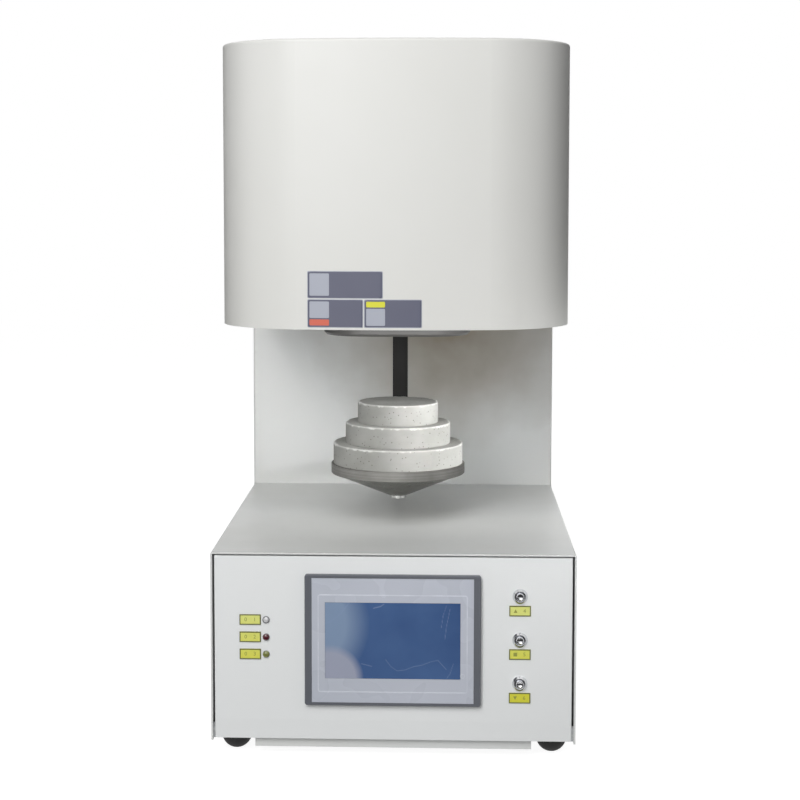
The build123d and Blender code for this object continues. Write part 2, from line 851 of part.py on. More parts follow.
with BuildPart() as rocker_housing:
    rocker_place = (rocker_x, rocker_z)
    with BuildSketch(across(rear_face_y)):
        with Locations(rocker_place):
            RectangleRounded(*rocker_flange_size, 2)
    extrude(amount=-rocker_flange)
    with BuildSketch(across(rear_face_y)):
        with Locations(rocker_place):
            Rectangle(rocker_width, rocker_height)
    extrude(amount=rocker_depth)
    with BuildSketch(across(rear_face_y + rocker_flange)):
        with Locations(rocker_place):
            Rectangle(rocker_width - 4.4, rocker_height - 3.4)
    extrude(amount=rocker_depth - 6, mode=Mode.SUBTRACT)
    # pivot hole across the cavity
    with BuildSketch(Plane.YZ.offset(rocker_x)):
        with Locations((rear_face_y - rocker_pivot_depth, rocker_z)):
            Circle(rocker_pin_radius + running_gap)
    extrude(amount=10, both=True, mode=Mode.SUBTRACT)
rocker_housing.part.label = "rocker_housing"
export_step(rocker_housing.part, "parts/rocker_housing.step")

# Rocker paddle, tilted to its off side, with its pivot pin
rocker_axis_y = rear_face_y - rocker_pivot_depth
tilted = Plane(
    origin=(rocker_x, rocker_axis_y, rocker_z),
    x_dir=(0, cos(radians(rocker_tilt)), sin(radians(rocker_tilt))),
    z_dir=(1, 0, 0),
)
with BuildPart() as power_rocker:
    paddle_half_width = 8.3
    pin_half_length = 9.6
    with BuildSketch(tilted):
        with BuildLine():
            Polyline(
                (-7, -5), (3.2, -11.6), (6.4, -11.2), (4.6, 0), (6.4, 11.2), (3.2, 11.6), (-7, 5),
                close=True,
            )
        make_face()
    extrude(amount=paddle_half_width, both=True)
    with BuildSketch(tilted):
        Circle(rocker_pin_radius)
    extrude(amount=pin_half_length, both=True)
power_rocker.part.label = "power_rocker"
export_step(power_rocker.part, "parts/power_rocker.step")

# Cooling fan: square frame with a round duct and a hub on four struts
fan_front_y = rear_inner_y - fan_depth
hub_radius = 17
hub_front_y = fan_front_y + 4
fan_pin_radius = 2
blade_height = 15
with BuildPart() as fan_frame:
    with BuildSketch(across(rear_inner_y)):
        with Locations((fan_x, fan_z)):
            RectangleRounded(fan_size, fan_size, 5)
            Circle(fan_bore, mode=Mode.SUBTRACT)
            with GridLocations(fan_holes, fan_holes, 2, 2):
                Circle(screw_hole_radius, mode=Mode.SUBTRACT)
    extrude(amount=fan_depth)
    with BuildSketch(across(fan_front_y)):
        with Locations((fan_x, fan_z)):
            Circle(hub_radius)
            with PolarLocations(0, 4):
                with Locations((fan_bore / 2 + 2, 0)):
                    Rectangle(fan_bore, 4)
    extrude(amount=-3)
    with BuildSketch(across(fan_front_y)):
        with Locations((fan_x, fan_z)):
            Circle(fan_pin_radius)
    extrude(amount=-blade_height - 3)
fan_frame.part.label = "fan_frame"
export_step(fan_frame.part, "parts/fan_frame.step")

# Fan rotor: hub and seven pitched blades on the frame's pin
with BuildPart() as fan_rotor:
    blade_count = 7
    blade_pitch = 35
    blade_thick = 1.6
    blade_tip = fan_bore - 1.5
    rotor_middle_y = hub_front_y + blade_height / 2 + 1
    with BuildSketch(across(hub_front_y)):
        with Locations((fan_x, fan_z)):
            Circle(hub_radius)
            Circle(fan_pin_radius + running_gap, mode=Mode.SUBTRACT)
    extrude(amount=-(blade_height + 3))
    for blade in range(blade_count):
        turn = 360 * blade / blade_count
        outward = (cos(radians(turn)), 0, sin(radians(turn)))
        reach = (blade_tip + hub_radius) / 2 - 1
        middle = (
            fan_x + reach * outward[0],
            rotor_middle_y,
            fan_z + reach * outward[2],
        )
        blade_plane = Plane(origin=middle, x_dir=(0, 1, 0), z_dir=outward)
        blade_half = (blade_tip - hub_radius) / 2 + 0.5
        with BuildSketch(blade_plane):
            Rectangle(blade_height + 2, blade_thick, rotation=blade_pitch)
        extrude(amount=blade_half, both=True)
    with BuildSketch(across(hub_front_y)):
        with Locations((fan_x, fan_z)):
            Circle(blade_tip)
    extrude(amount=-(blade_height + 3), mode=Mode.INTERSECT)
fan_rotor.part.label = "fan_rotor"
export_step(fan_rotor.part, "parts/fan_rotor.step")

# Wire guard over the fan: four rings on two crossed bars, with an eye at each end
with BuildPart() as fan_guard:
    guard_y = rear_face_y + guard_reach - guard_wire
    guard_axis = Axis(origin=(fan_x, 0, fan_z), direction=(0, 1, 0))
    guard_rings = [11, 21, 31, 41]
    bar_setback = 1.6
    for ring in guard_rings:
        with BuildSketch(Plane.YZ.offset(fan_x)):
            with Locations((guard_y, fan_z + ring)):
                Circle(guard_wire)
        revolve(axis=guard_axis)
    for side in (-1, 1):
        bar_y = guard_y - bar_setback
        crossed = Plane(origin=(fan_x, bar_y, fan_z), x_dir=(0, 1, 0), z_dir=(side, 0, 1))
        with BuildSketch(crossed):
            Circle(guard_wire)
        extrude(amount=fan_holes / sqrt(2), both=True)
    with BuildSketch(across(rear_face_y)):
        with Locations((fan_x, fan_z)):
            with GridLocations(fan_holes, fan_holes, 2, 2):
                Circle(3.2)
    extrude(amount=-(guard_y - 0.7 - rear_face_y))
fan_guard.part.label = "fan_guard"
export_step(fan_guard.part, "parts/fan_guard.step")

# ================================================================ lift
rod_places = [(lift_x - rod_x, lift_y), (lift_x + rod_x, lift_y)]


def beam_outline(screw_hole):
    """Cross beam from above, with its bores for the rods and for the lead screw."""
    with BuildSketch() as outline:
        with Locations((0, lift_y)):
            Rectangle(2 * upright_inner, 2 * beam_half_depth)
        with Locations(rod_places):
            Circle(rod_radius + press_gap, mode=Mode.SUBTRACT)
        with Locations((lift_x, lift_y)):
            Circle(screw_hole, mode=Mode.SUBTRACT)
    return outline.sketch


# Two cross beams between the uprights: the lower holds the motor, the upper the screw's end
with BuildPart() as bearing_beams:
    for bottom, screw_hole in (
        (lower_beam_z, motor_pilot_radius + 0.1),
        (upper_beam_z, screw_end_radius + running_gap),
    ):
        with BuildSketch(Plane.XY.offset(bottom)):
            add(beam_outline(screw_hole))
        extrude(amount=beam_height)
    chamfer(edges().filter_by(Axis.X), 1)
bearing_beams.part.label = "bearing_beams"
export_step(bearing_beams.part, "parts/bearing_beams.step")

with BuildPart() as guide_rods:
    with BuildSketch(Plane.XY.offset(lower_beam_z)):
        with Locations(rod_places):
            Circle(rod_radius)
    extrude(amount=upper_beam_z + beam_height - lower_beam_z)
guide_rods.part.label = "guide_rods"
export_step(guide_rods.part, "parts/guide_rods.step")

# Geared stepping motor under the lower beam, its pilot boss inside the beam's bore
with BuildPart() as lift_motor:
    motor_size = 57
    motor_length = 78
    motor_flange = 12
    motor_cap = 18
    motor_pilot = 4
    with BuildSketch(Plane.XY.offset(lower_beam_z)):
        with Locations((lift_x, lift_y)):
            RectangleRounded(motor_size, motor_size, 5)
    extrude(amount=-motor_length)
    # the laminated middle is a little smaller than the two ends
    with BuildSketch(Plane.XY.offset(lower_beam_z - motor_flange)):
        with Locations((lift_x, lift_y)):
            RectangleRounded(motor_size, motor_size, 5)
            RectangleRounded(motor_size - 4, motor_size - 4, 8, mode=Mode.SUBTRACT)
    extrude(amount=motor_flange + motor_cap - motor_length, mode=Mode.SUBTRACT)
    with BuildSketch(Plane.XY.offset(lower_beam_z)):
        with Locations((lift_x, lift_y)):
            Circle(motor_pilot_radius)
    extrude(amount=motor_pilot)
    with BuildSketch(Plane.XY.offset(lower_beam_z + motor_pilot)):
        with Locations((lift_x, lift_y)):
            Circle(motor_shaft_radius + running_gap)
    extrude(amount=-40, mode=Mode.SUBTRACT)
lift_motor.part.label = "lift_motor"
export_step(lift_motor.part, "parts/lift_motor.step")

# Coupling between motor and lead screw, with the motor's shaft clamped in it
coupling_length = 28
coupling_bottom = lower_beam_z + beam_height + 4
coupling_top = coupling_bottom + coupling_length
with BuildPart() as screw_coupling:
    coupling_radius = 12.5
    with BuildSketch(Plane.XY.offset(coupling_bottom)):
        with Locations((lift_x, lift_y)):
            Circle(coupling_radius)
    extrude(amount=coupling_length)
    with BuildSketch(Plane.XY.offset(coupling_top)):
        with Locations((lift_x, lift_y)):
            Circle(screw_end_radius + press_gap)
    extrude(amount=-coupling_length / 2, mode=Mode.SUBTRACT)
    # groove between its two halves
    with BuildSketch(Plane.XY.offset(coupling_bottom + coupling_length / 2 - 1)):
        with Locations((lift_x, lift_y)):
            Circle(coupling_radius)
            Circle(coupling_radius - 2.5, mode=Mode.SUBTRACT)
    extrude(amount=1.2, mode=Mode.SUBTRACT)
    with BuildSketch(Plane.XY.offset(coupling_bottom)):
        with Locations((lift_x, lift_y)):
            Circle(motor_shaft_radius)
    extrude(amount=-(coupling_bottom - lower_beam_z + 30))
screw_coupling.part.label = "screw_coupling"
export_step(screw_coupling.part, "parts/screw_coupling.step")

# Lead screw, turned down at both ends
with BuildPart() as lead_screw:
    screw_bottom = coupling_top + 6
    screw_end = coupling_bottom + coupling_length / 2 + 1
    with BuildSketch(Plane.XY.offset(screw_end)):
        with Locations((lift_x, lift_y)):
            Circle(screw_end_radius)
    extrude(amount=upper_beam_z + beam_height - screw_end)
    with BuildSketch(Plane.XY.offset(screw_bottom)):
        with Locations((lift_x, lift_y)):
            Circle(screw_radius)
    extrude(amount=upper_beam_z - 2 - screw_bottom)
lead_screw.part.label = "lead_screw"
export_step(lead_screw.part, "parts/lead_screw.step")

# Carriage block that rides on the rods
with BuildPart() as carriage:
    with BuildSketch(Plane.XY.offset(carriage_bottom)):
        with Locations((lift_x, lift_y)):
            Rectangle(2 * carriage_half_width, 2 * carriage_half_depth)
        with Locations((lift_x, lift_y), *rod_places):
            Circle(bearing_radius + press_gap, mode=Mode.SUBTRACT)
    extrude(amount=carriage_top - carriage_bottom)
    chamfer(edges().filter_by(Axis.Z).filter_by(GeomType.LINE), 3)
carriage.part.label = "carriage"
export_step(carriage.part, "parts/carriage.step")

with BuildPart() as linear_bearings:
    with BuildSketch(Plane.XY.offset(carriage_bottom)):
        with Locations(rod_places):
            Circle(bearing_radius)
            Circle(rod_radius + running_gap, mode=Mode.SUBTRACT)
    extrude(amount=carriage_top - carriage_bottom)
linear_bearings.part.label = "linear_bearings"
export_step(linear_bearings.part, "parts/linear_bearings.step")

# Flanged bronze nut that the lead screw drives
with BuildPart() as lead_nut:
    with BuildSketch(Plane.XY.offset(carriage_top - nut_length)):
        with Locations((lift_x, lift_y)):
            Circle(bearing_radius)
    extrude(amount=nut_length)
    with BuildSketch(Plane.XY.offset(carriage_top)):
        with Locations((lift_x, lift_y)):
            Circle(nut_flange_radius)
    extrude(amount=nut_flange)
    with BuildSketch(Plane.XY.offset(carriage_top - nut_length)):
        with Locations((lift_x, lift_y)):
            Circle(screw_radius + running_gap)
    extrude(amount=nut_length + nut_flange, mode=Mode.SUBTRACT)
lead_nut.part.label = "lead_nut"
export_step(lead_nut.part, "parts/lead_nut.step")

# Arm from the carriage, through the slot, to the boss under the tray. Its collar holds
# the shutter.
carriage_front_y = lift_y - carriage_half_depth
shutter_y = column_back_y + 3
with BuildPart() as lift_arm:
    arm_length = carriage_front_y - tray_y
    arm_foot = (70, 40)
    arm_foot_thick = 10
    arm_collar = (40, 36)
    arm_collar_thick = 4
    boss_bottom = arm_bottom + 5
    boss_radius = 18
    boss_foot_radius = 10.5
    with BuildSketch(Plane.XY.offset(arm_bottom)):
        with Locations((lift_x, tray_y + arm_length / 2)):
            Rectangle(2 * arm_half_width, arm_length)
    extrude(amount=arm_top - arm_bottom)
    with BuildSketch(across(carriage_front_y)):
        with Locations((lift_x, arm_middle)):
            Rectangle(*arm_foot)
    extrude(amount=arm_foot_thick)
    with BuildSketch(across(shutter_y + shutter_sheet)):
        with Locations((lift_x, arm_middle)):
            Rectangle(*arm_collar)
    extrude(amount=-arm_collar_thick)
    with BuildSketch(Plane.XY.offset(boss_bottom)):
        with Locations((0, tray_y)):
            Circle(boss_radius)
    extrude(amount=plate_bottom - boss_bottom)
    with BuildSketch(Plane.XY.offset(arm_bottom)):
        with Locations((0, tray_y)):
            Circle(boss_foot_radius)
    extrude(amount=boss_bottom - arm_bottom)
    with BuildSketch(Plane.XY.offset(arm_bottom)):
        with Locations((0, tray_y)):
            Circle(tray_bolt_radius + running_gap)
    extrude(amount=plate_bottom - arm_bottom, mode=Mode.SUBTRACT)
lift_arm.part.label = "lift_arm"
export_step(lift_arm.part, "parts/lift_arm.step")

# Black shutter that travels with the arm and closes the slot behind the column's front
with BuildPart() as slot_shutter:
    shutter_bottom = arm_middle - travel - 30
    shutter_top = slot_top + 8
    shutter_gap = 0.2
    arm_height = arm_top - arm_bottom
    with BuildSketch(across(shutter_y)):
        with Locations((lift_x, (shutter_top + shutter_bottom) / 2)):
            Rectangle(shutter_width, shutter_top - shutter_bottom)
        with Locations((lift_x, arm_middle)):
            Rectangle(
                2 * (arm_half_width + shutter_gap),
                arm_height + 2 * shutter_gap,
                mode=Mode.SUBTRACT,
            )
    extrude(amount=-shutter_sheet)
slot_shutter.part.label = "slot_shutter"
export_step(slot_shutter.part, "parts/slot_shutter.step")

# ================================================================ tray and plug
tray_axis = Axis(origin=(0, tray_y, 0), direction=(0, 0, 1))

# Shallow spun cone under the tray, notched at the rear for the arm
with BuildPart() as tray_cone:
    cone_rise = plate_bottom - cone_bottom
    cone_run = cone_top_radius - cone_bottom_radius
    cone_slant = sqrt(cone_rise**2 + cone_run**2)
    wall_x = cone_sheet * cone_slant / cone_rise
    hole_radius = tray_bolt_radius + 0.2
    notch_length = 60
    with BuildSketch(Plane(origin=(0, tray_y, 0), x_dir=(1, 0, 0), z_dir=(0, -1, 0))):
        with BuildLine():
            Polyline(
                (hole_radius, cone_bottom),
                (cone_bottom_radius, cone_bottom),
                (cone_top_radius, plate_bottom),
                (cone_top_radius - wall_x, plate_bottom),
                (cone_bottom_radius - wall_x + cone_sheet * cone_run / cone_rise,
                 arm_bottom),
                (hole_radius, arm_bottom),
                close=True,
            )
        make_face()
    revolve(axis=tray_axis)
    with BuildSketch(Plane.XY.offset(cone_bottom - 1)):
        with Locations((lift_x, tray_y + 3 + notch_length / 2)):
            Rectangle(2 * arm_half_width + 2, notch_length)
    extrude(amount=arm_top + 1.5 - cone_bottom, mode=Mode.SUBTRACT)
tray_cone.part.label = "tray_cone"
export_step(tray_cone.part, "parts/tray_cone.step")

# Bolt through the cone and the arm's boss into the plate, with a disc head and a nib
with BuildPart() as tray_bolt:
    disc_radius = 10.6
    disc_thick = 3.3
    disc_bottom = cone_bottom - disc_thick
    nib_radius = 3.2
    nib_length = 3
    with BuildSketch(Plane.XY.offset(disc_bottom)):
        with Locations((0, tray_y)):
            Circle(disc_radius)
    extrude(amount=disc_thick)
    with BuildSketch(Plane.XY.offset(cone_bottom)):
        with Locations((0, tray_y)):
            Circle(tray_bolt_radius)
    extrude(amount=plate_bottom + tray_bolt_reach - cone_bottom)
    with BuildSketch(Plane.XY.offset(disc_bottom)):
        with Locations((0, tray_y)):
            Circle(nib_radius)
    extrude(amount=-nib_length)
    fillet(faces().sort_by(Axis.Z)[0].edges(), 1.2)
tray_bolt.part.label = "tray_bolt"
export_step(tray_bolt.part, "parts/tray_bolt.step")

with BuildPart() as tray_plate:
    with BuildSketch(Plane.XY.offset(plate_bottom)):
        with Locations((0, tray_y)):
            Circle(plate_radius)
    extrude(amount=plate_thick)
    chamfer(edges().filter_by(GeomType.CIRCLE), 0.6)
    with BuildSketch(Plane.XY.offset(plate_bottom)):
        with Locations((0, tray_y)):
            Circle(tray_bolt_radius + running_gap)
    extrude(amount=tray_bolt_reach + 1, mode=Mode.SUBTRACT)
tray_plate.part.label = "tray_plate"
export_step(tray_plate.part, "parts/tray_plate.step")


def fibre_disc(tier):
    """One round board of the plug, counted from below."""
    bottom = plate_top + tier * tier_height
    with BuildPart() as disc:
        with BuildSketch(Plane.XY.offset(bottom)):
            with Locations((0, tray_y)):
                Circle(tier_radii[tier])
        extrude(amount=tier_height)
        fillet(edges().filter_by(GeomType.CIRCLE).sort_by(Axis.Z)[-1], 0.8)
    return disc


plug_lower = fibre_disc(0)
plug_lower.part.label = "plug_lower"
export_step(plug_lower.part, "parts/plug_lower.step")

plug_middle = fibre_disc(1)
plug_middle.part.label = "plug_middle"
export_step(plug_middle.part, "parts/plug_middle.step")

plug_upper = fibre_disc(2)
plug_upper.part.label = "plug_upper"
export_step(plug_upper.part, "parts/plug_upper.step")

# ================================================================ furnace head
# Cover of the head: front, sides and top in one shell, open below and at the rear
with BuildPart() as head_cover:
    with BuildSketch(Plane.XY.offset(head_bottom)):
        add(head_plan(0, column_y + head_insert))
    extrude(amount=head_top - head_bottom)
    top_edges = faces().sort_by(Axis.Z)[-1].edges()
    fillet(top_edges.sort_by(Axis.Y)[:-1], head_edge_radius)
    with BuildSketch(Plane.XY.offset(head_bottom)):
        add(head_plan(sheet, column_y + head_insert + 10))
    extrude(amount=head_top - head_bottom - sheet, mode=Mode.SUBTRACT)
head_cover.part.label = "head_cover"
export_step(head_cover.part, "parts/head_cover.step")

with BuildPart() as head_floor:
    with BuildSketch(Plane.XY.offset(head_floor_z)):
        add(head_plan(sheet + 0.3, column_y - seam))
        with Locations((0, tray_y)):
            Circle(tier_radii[0] + step_gap, mode=Mode.SUBTRACT)
        with Locations((0, front_y + 30)):
            with GridLocations(vent_spacing, 0, 3, 1):
                SlotOverall(vent_length, vent_width, mode=Mode.SUBTRACT)
    extrude(amount=sheet)
head_floor.part.label = "head_floor"
export_step(head_floor.part, "parts/head_floor.step")

# Two square tubes that run forward from the uprights under the furnace
with BuildPart() as head_beams:
    tube = 28
    tube_wall = 2
    tube_x = upright_inner + tube / 2 + 1
    tube_setback = 92
    tube_length = column_back_y - (front_y + tube_setback)
    for side in (-1, 1):
        with BuildSketch(across(column_back_y)):
            with Locations((side * tube_x, insulation_bottom + tube / 2)):
                Rectangle(tube, tube)
                Rectangle(tube - 2 * tube_wall, tube - 2 * tube_wall, mode=Mode.SUBTRACT)
        extrude(amount=tube_length)
head_beams.part.label = "head_beams"
export_step(head_beams.part, "parts/head_beams.step")

# Steel collar round the throat, which the tray closes against
with BuildPart() as throat_flange:
    with BuildSketch(Plane.XY.offset(throat_bottom)):
        with Locations((0, tray_y)):
            RectangleRounded(throat_size, throat_size, throat_corner)
            Circle(tier_radii[0] + step_gap, mode=Mode.SUBTRACT)
    extrude(amount=head_floor_z - throat_bottom)
    throat_bevel = 3
    chamfer(faces().sort_by(Axis.Z)[0].outer_wire().edges(), throat_bevel)
throat_flange.part.label = "throat_flange"
export_step(throat_flange.part, "parts/throat_flange.step")

with BuildPart() as furnace_can:
    with BuildSketch(Plane.XY.offset(insulation_bottom)):
        with Locations((0, tray_y)):
            Circle(can_radius)
            Circle(can_radius - can_sheet, mode=Mode.SUBTRACT)
    extrude(amount=roof_top + 4 - insulation_bottom)
furnace_can.part.label = "furnace_can"
export_step(furnace_can.part, "parts/furnace_can.step")

# Lower insulation, bored in steps that match the plug when it is up
with BuildPart() as insulation_ring:
    with BuildSketch(Plane.XY.offset(insulation_bottom)):
        with Locations((0, tray_y)):
            Circle(insulation_radius)
            Circle(tier_radii[2] + step_gap, mode=Mode.SUBTRACT)
    extrude(amount=chamber_floor - insulation_bottom)
    for tier in (0, 1):
        step_top = plate_top + travel + (tier + 1) * tier_height + step_gap
        with BuildSketch(Plane.XY.offset(insulation_bottom)):
            with Locations((0, tray_y)):
                Circle(tier_radii[tier] + step_gap)
        extrude(amount=step_top - insulation_bottom, mode=Mode.SUBTRACT)
insulation_ring.part.label = "insulation_ring"
export_step(insulation_ring.part, "parts/insulation_ring.step")

with BuildPart() as insulation_wall:
    with BuildSketch(Plane.XY.offset(chamber_floor)):
        with Locations((0, tray_y)):
            Circle(insulation_radius)
            Circle(chamber_radius, mode=Mode.SUBTRACT)
    extrude(amount=chamber_roof - chamber_floor)
insulation_wall.part.label = "insulation_wall"
export_step(insulation_wall.part, "parts/insulation_wall.step")

# Each end of each element, as places around the tray's axis
element_ends = [
    (
        element_radius * cos(radians(turn)) - end * element_half_width * sin(radians(turn)),
        tray_y
        + element_radius * sin(radians(turn))
        + end * element_half_width * cos(radians(turn)),
    )
    for turn in [360 * i / element_count for i in range(element_count)]
    for end in (-1, 1)
]
probe_place = (44, tray_y + 44)
probe_radius = 4

with BuildPart() as insulation_roof:
    with BuildSketch(Plane.XY.offset(chamber_roof)):
        with Locations((0, tray_y)):
            Circle(insulation_radius)
        with Locations(element_ends):
            Circle(cold_end_radius + 0.6, mode=Mode.SUBTRACT)
        with Locations(probe_place):
            Circle(probe_radius + 0.6, mode=Mode.SUBTRACT)
    extrude(amount=roof_top - chamber_roof)
insulation_roof.part.label = "insulation_roof"
export_step(insulation_roof.part, "parts/insulation_roof.step")

with BuildPart() as heating_elements:
    cold_end_reach = 8
    with BuildSketch(Plane.XY.offset(element_bend_z)):
        with Locations(element_ends):
            Circle(hot_wire_radius)
    extrude(amount=chamber_roof - element_bend_z)
    with BuildSketch(Plane.XY.offset(chamber_roof - cold_end_reach)):
        with Locations(element_ends):
            Circle(cold_end_radius)
    extrude(amount=element_top - chamber_roof + cold_end_reach)
    for index in range(element_count):
        turn = 360 * index / element_count
        bend_middle = (
            element_radius * cos(radians(turn)),
            tray_y + element_radius * sin(radians(turn)),
            element_bend_z,
        )
        end_plane = Plane(
            origin=(element_ends[2 * index][0], element_ends[2 * index][1], element_bend_z),
            z_dir=(0, 0, 1),
        )
        bend_axis = Axis(
            origin=bend_middle, direction=(cos(radians(turn)), sin(radians(turn)), 0)
        )
        with BuildSketch(end_plane):
            Circle(hot_wire_radius)
        revolve(axis=bend_axis, revolution_arc=180)
heating_elements.part.label = "heating_elements"
export_step(heating_elements.part, "parts/heating_elements.step")

# Clamps that carry the current to the element ends
with BuildPart() as element_clamps:
    clamp_size = 20
    clamp_height = 14
    with BuildSketch(Plane.XY.offset(element_top - 6)):
        with Locations(element_ends):
            RectangleRounded(clamp_size, clamp_size, 3)
            Circle(cold_end_radius + running_gap, mode=Mode.SUBTRACT)
    extrude(amount=-clamp_height)
element_clamps.part.label = "element_clamps"
export_step(element_clamps.part, "parts/element_clamps.step")

# Thermocouple: ceramic sheath with a connection head above the roof
with BuildPart() as thermocouple:
    probe_tip_z = chamber_roof - 25
    probe_head_z = roof_top + 6
    probe_head = (22, 22, 20)
    with BuildSketch(Plane.XY.offset(probe_tip_z)):
        with Locations(probe_place):
            Circle(probe_radius)
    extrude(amount=probe_head_z - probe_tip_z)
    fillet(faces().sort_by(Axis.Z)[0].edges(), probe_radius - 0.2)
    with BuildSketch(Plane.XY.offset(probe_head_z)):
        with Locations(probe_place):
            RectangleRounded(probe_head[0], probe_head[1], 4)
    extrude(amount=probe_head[2])
thermocouple.part.label = "thermocouple"
export_step(thermocouple.part, "parts/thermocouple.step")
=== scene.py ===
# %% [markdown]
# Dental sintering furnace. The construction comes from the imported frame, and this script
# gives it its finishes: satin paint on folded steel, white fibre board, turned and spun
# steel, chrome, a touch panel under its film, and the small labels. Every CAD piece stays
# where it is. A new piece is a surface worked out on a grid of points, in metres.

# %% Load the frame
from math import pi, radians

import bmesh
import bpy
import numpy as np
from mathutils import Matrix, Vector


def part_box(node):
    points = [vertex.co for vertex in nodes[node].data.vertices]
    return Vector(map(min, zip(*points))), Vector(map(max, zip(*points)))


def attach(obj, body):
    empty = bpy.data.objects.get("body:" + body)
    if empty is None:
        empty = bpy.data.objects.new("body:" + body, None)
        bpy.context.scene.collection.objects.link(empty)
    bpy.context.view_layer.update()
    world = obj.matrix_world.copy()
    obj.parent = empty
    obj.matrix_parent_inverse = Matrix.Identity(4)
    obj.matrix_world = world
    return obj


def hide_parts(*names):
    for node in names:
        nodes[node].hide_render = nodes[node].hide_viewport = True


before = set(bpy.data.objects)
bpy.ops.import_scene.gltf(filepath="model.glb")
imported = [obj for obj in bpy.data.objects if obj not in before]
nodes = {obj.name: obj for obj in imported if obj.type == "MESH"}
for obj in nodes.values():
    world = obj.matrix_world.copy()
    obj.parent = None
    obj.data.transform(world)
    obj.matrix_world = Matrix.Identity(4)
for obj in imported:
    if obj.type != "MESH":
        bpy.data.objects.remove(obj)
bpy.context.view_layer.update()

mm = 0.001

# %% [markdown]
# The camera comes first, because everything else is judged through it. Its place, lens and
# small shift were solved from corners of the furnace whose real places are known. It looks
# down a little, and the lens shift keeps the furnace in the middle of the picture.

# %% Camera
lens = bpy.data.cameras.new("camera")
lens.lens = 76.95
lens.sensor_width = 36
lens.shift_x = 0.0315
lens.shift_y = -0.1
look_down = 4.423
look_left = 2.26
camera = bpy.data.objects.new("camera", lens)
camera.location = (0.0558, -2.2423, 0.6607)
camera.rotation_euler = (radians(90 - look_down), 0, radians(look_left))
bpy.context.scene.collection.objects.link(camera)
bpy.context.scene.camera = camera
bpy.context.scene.view_settings.view_transform = "Standard"
print("camera at", tuple(round(value, 3) for value in camera.location))

# %% [markdown]
# A finish is a small tree of nodes. One helper class holds the calls that every tree
# repeats: a noise, a ramp of colours, a range of values and a bump. All patterns read the
# object's own coordinates, so they stay on the metal when the camera or a joint moves.
# Colours are written as they look on a display, and turned into linear light here.


# %% Finishes: the helper
def shade(red, green, blue):
    """Linear colour of a display colour from 0 to 255: the display curve, undone."""
    value = np.array([red, green, blue]) / 255
    linear = np.where(value <= 0.04045, value / 12.92, ((value + 0.055) / 1.055) ** 2.4)
    return (*linear.tolist(), 1.0)


class Finish:
    """A procedural material. Each method adds nodes and gives back a socket to use."""

    def __init__(self, name, **constants):
        self.material = bpy.data.materials.new(name)
        self.material.use_nodes = True
        self.tree = self.material.node_tree
        self.shader = self.tree.nodes["Principled BSDF"]
        self.place = self.tree.nodes.new("ShaderNodeTexCoord").outputs["Object"]
        for socket, value in constants.items():
            self.shader.inputs[socket.replace("_", " ")].default_value = value

    def node(self, kind, inputs=(), **settings):
        """A node with its settings, and with each input set or linked."""
        made = self.tree.nodes.new("ShaderNode" + kind)
        for setting, value in settings.items():
            setattr(made, setting, value)
        for socket, value in dict(inputs).items():
            if isinstance(value, bpy.types.NodeSocket):
                self.tree.links.new(value, made.inputs[socket])
            else:
                made.inputs[socket].default_value = value
        return made

    def noise(self, scale, detail=2, stretch=(1, 1, 1), place=None):
        """Cloudy noise with about scale features a metre, stretched along the axes."""
        source = self.place if place is None else place
        mapped = self.node("Mapping", {"Vector": source, "Scale": stretch}).outputs[0]
        values = {"Vector": mapped, "Scale": scale, "Detail": detail}
        return self.node("TexNoise", values).outputs["Fac"]

    def span(self, factor, low, high, start=0.3, end=0.7):
        """The factor's stretch from start to end, mapped to low to high."""
        values = {"Value": factor, 1: start, 2: end, 3: low, 4: high}
        return self.node("MapRange", values).outputs[0]

    def ramp(self, factor, *stops):
        """Colours along a factor. Each stop is its place from 0 to 1 and its colour."""
        made = self.node("ValToRGB", {"Fac": factor})
        bar = made.color_ramp.elements
        while len(bar) < len(stops):
            bar.new(0.5)
        for stop, (place, colour) in zip(bar, stops):
            stop.position = place
            stop.color = colour
        return made.outputs["Color"]

    def blend(self, factor, first, second):
        """The first colour, turning into the second as the factor goes from 0 to 1."""
        made = self.node("Mix", data_type="RGBA")
        for socket, value in ((0, factor), (6, first), (7, second)):
            if isinstance(value, bpy.types.NodeSocket):
                self.tree.links.new(value, made.inputs[socket])
            else:
                made.inputs[socket].default_value = value
        return made.outputs[2]

    def sum(self, first, second, how="ADD"):
        """Two values joined by a plain sum, or by another operation."""
        return self.node("Math", {0: first, 1: second}, operation=how).outputs[0]

    def rings(self, centre, scale, breaks_scale):
        """Fine grooves round an upright axis: noise read by distance and height.

        A slower noise weakens the grooves here and there.
        """
        offset = {"Vector": self.place, "Location": (-centre[0], -centre[1], 0)}
        local = self.node("Mapping", offset).outputs[0]
        flat = self.node("VectorMath", {0: local, 1: (1, 1, 0)}, operation="MULTIPLY")
        distance = self.node("VectorMath", {0: flat.outputs[0]}, operation="LENGTH")
        height = self.node("SeparateXYZ", {0: local})
        polar = self.node(
            "CombineXYZ",
            {0: distance.outputs["Value"], 1: height.outputs["Z"], 2: 0.0},
        )
        lines = self.noise(scale, place=polar.outputs[0])
        breaks = self.noise(breaks_scale)
        return self.sum(lines, self.span(breaks, 0.75, 1.0), "MULTIPLY")

    def mark(self, name):
        """A number that the piece carries at each of its points."""
        return self.node("Attribute", attribute_name=name).outputs["Fac"]

    def give(self, colour=None, roughness=None, height=None, depth=0.0001, strength=1.0):
        """Sets the shader's colour, roughness and bump, and hands over the material."""
        if colour is not None:
            self.tree.links.new(colour, self.shader.inputs["Base Color"])
        if roughness is not None:
            self.tree.links.new(roughness, self.shader.inputs["Roughness"])
        if height is not None:
            values = {"Height": height, "Distance": depth, "Strength": strength}
            bump = self.node("Bump", values).outputs[0]
            self.tree.links.new(bump, self.shader.inputs["Normal"])
        return self.material


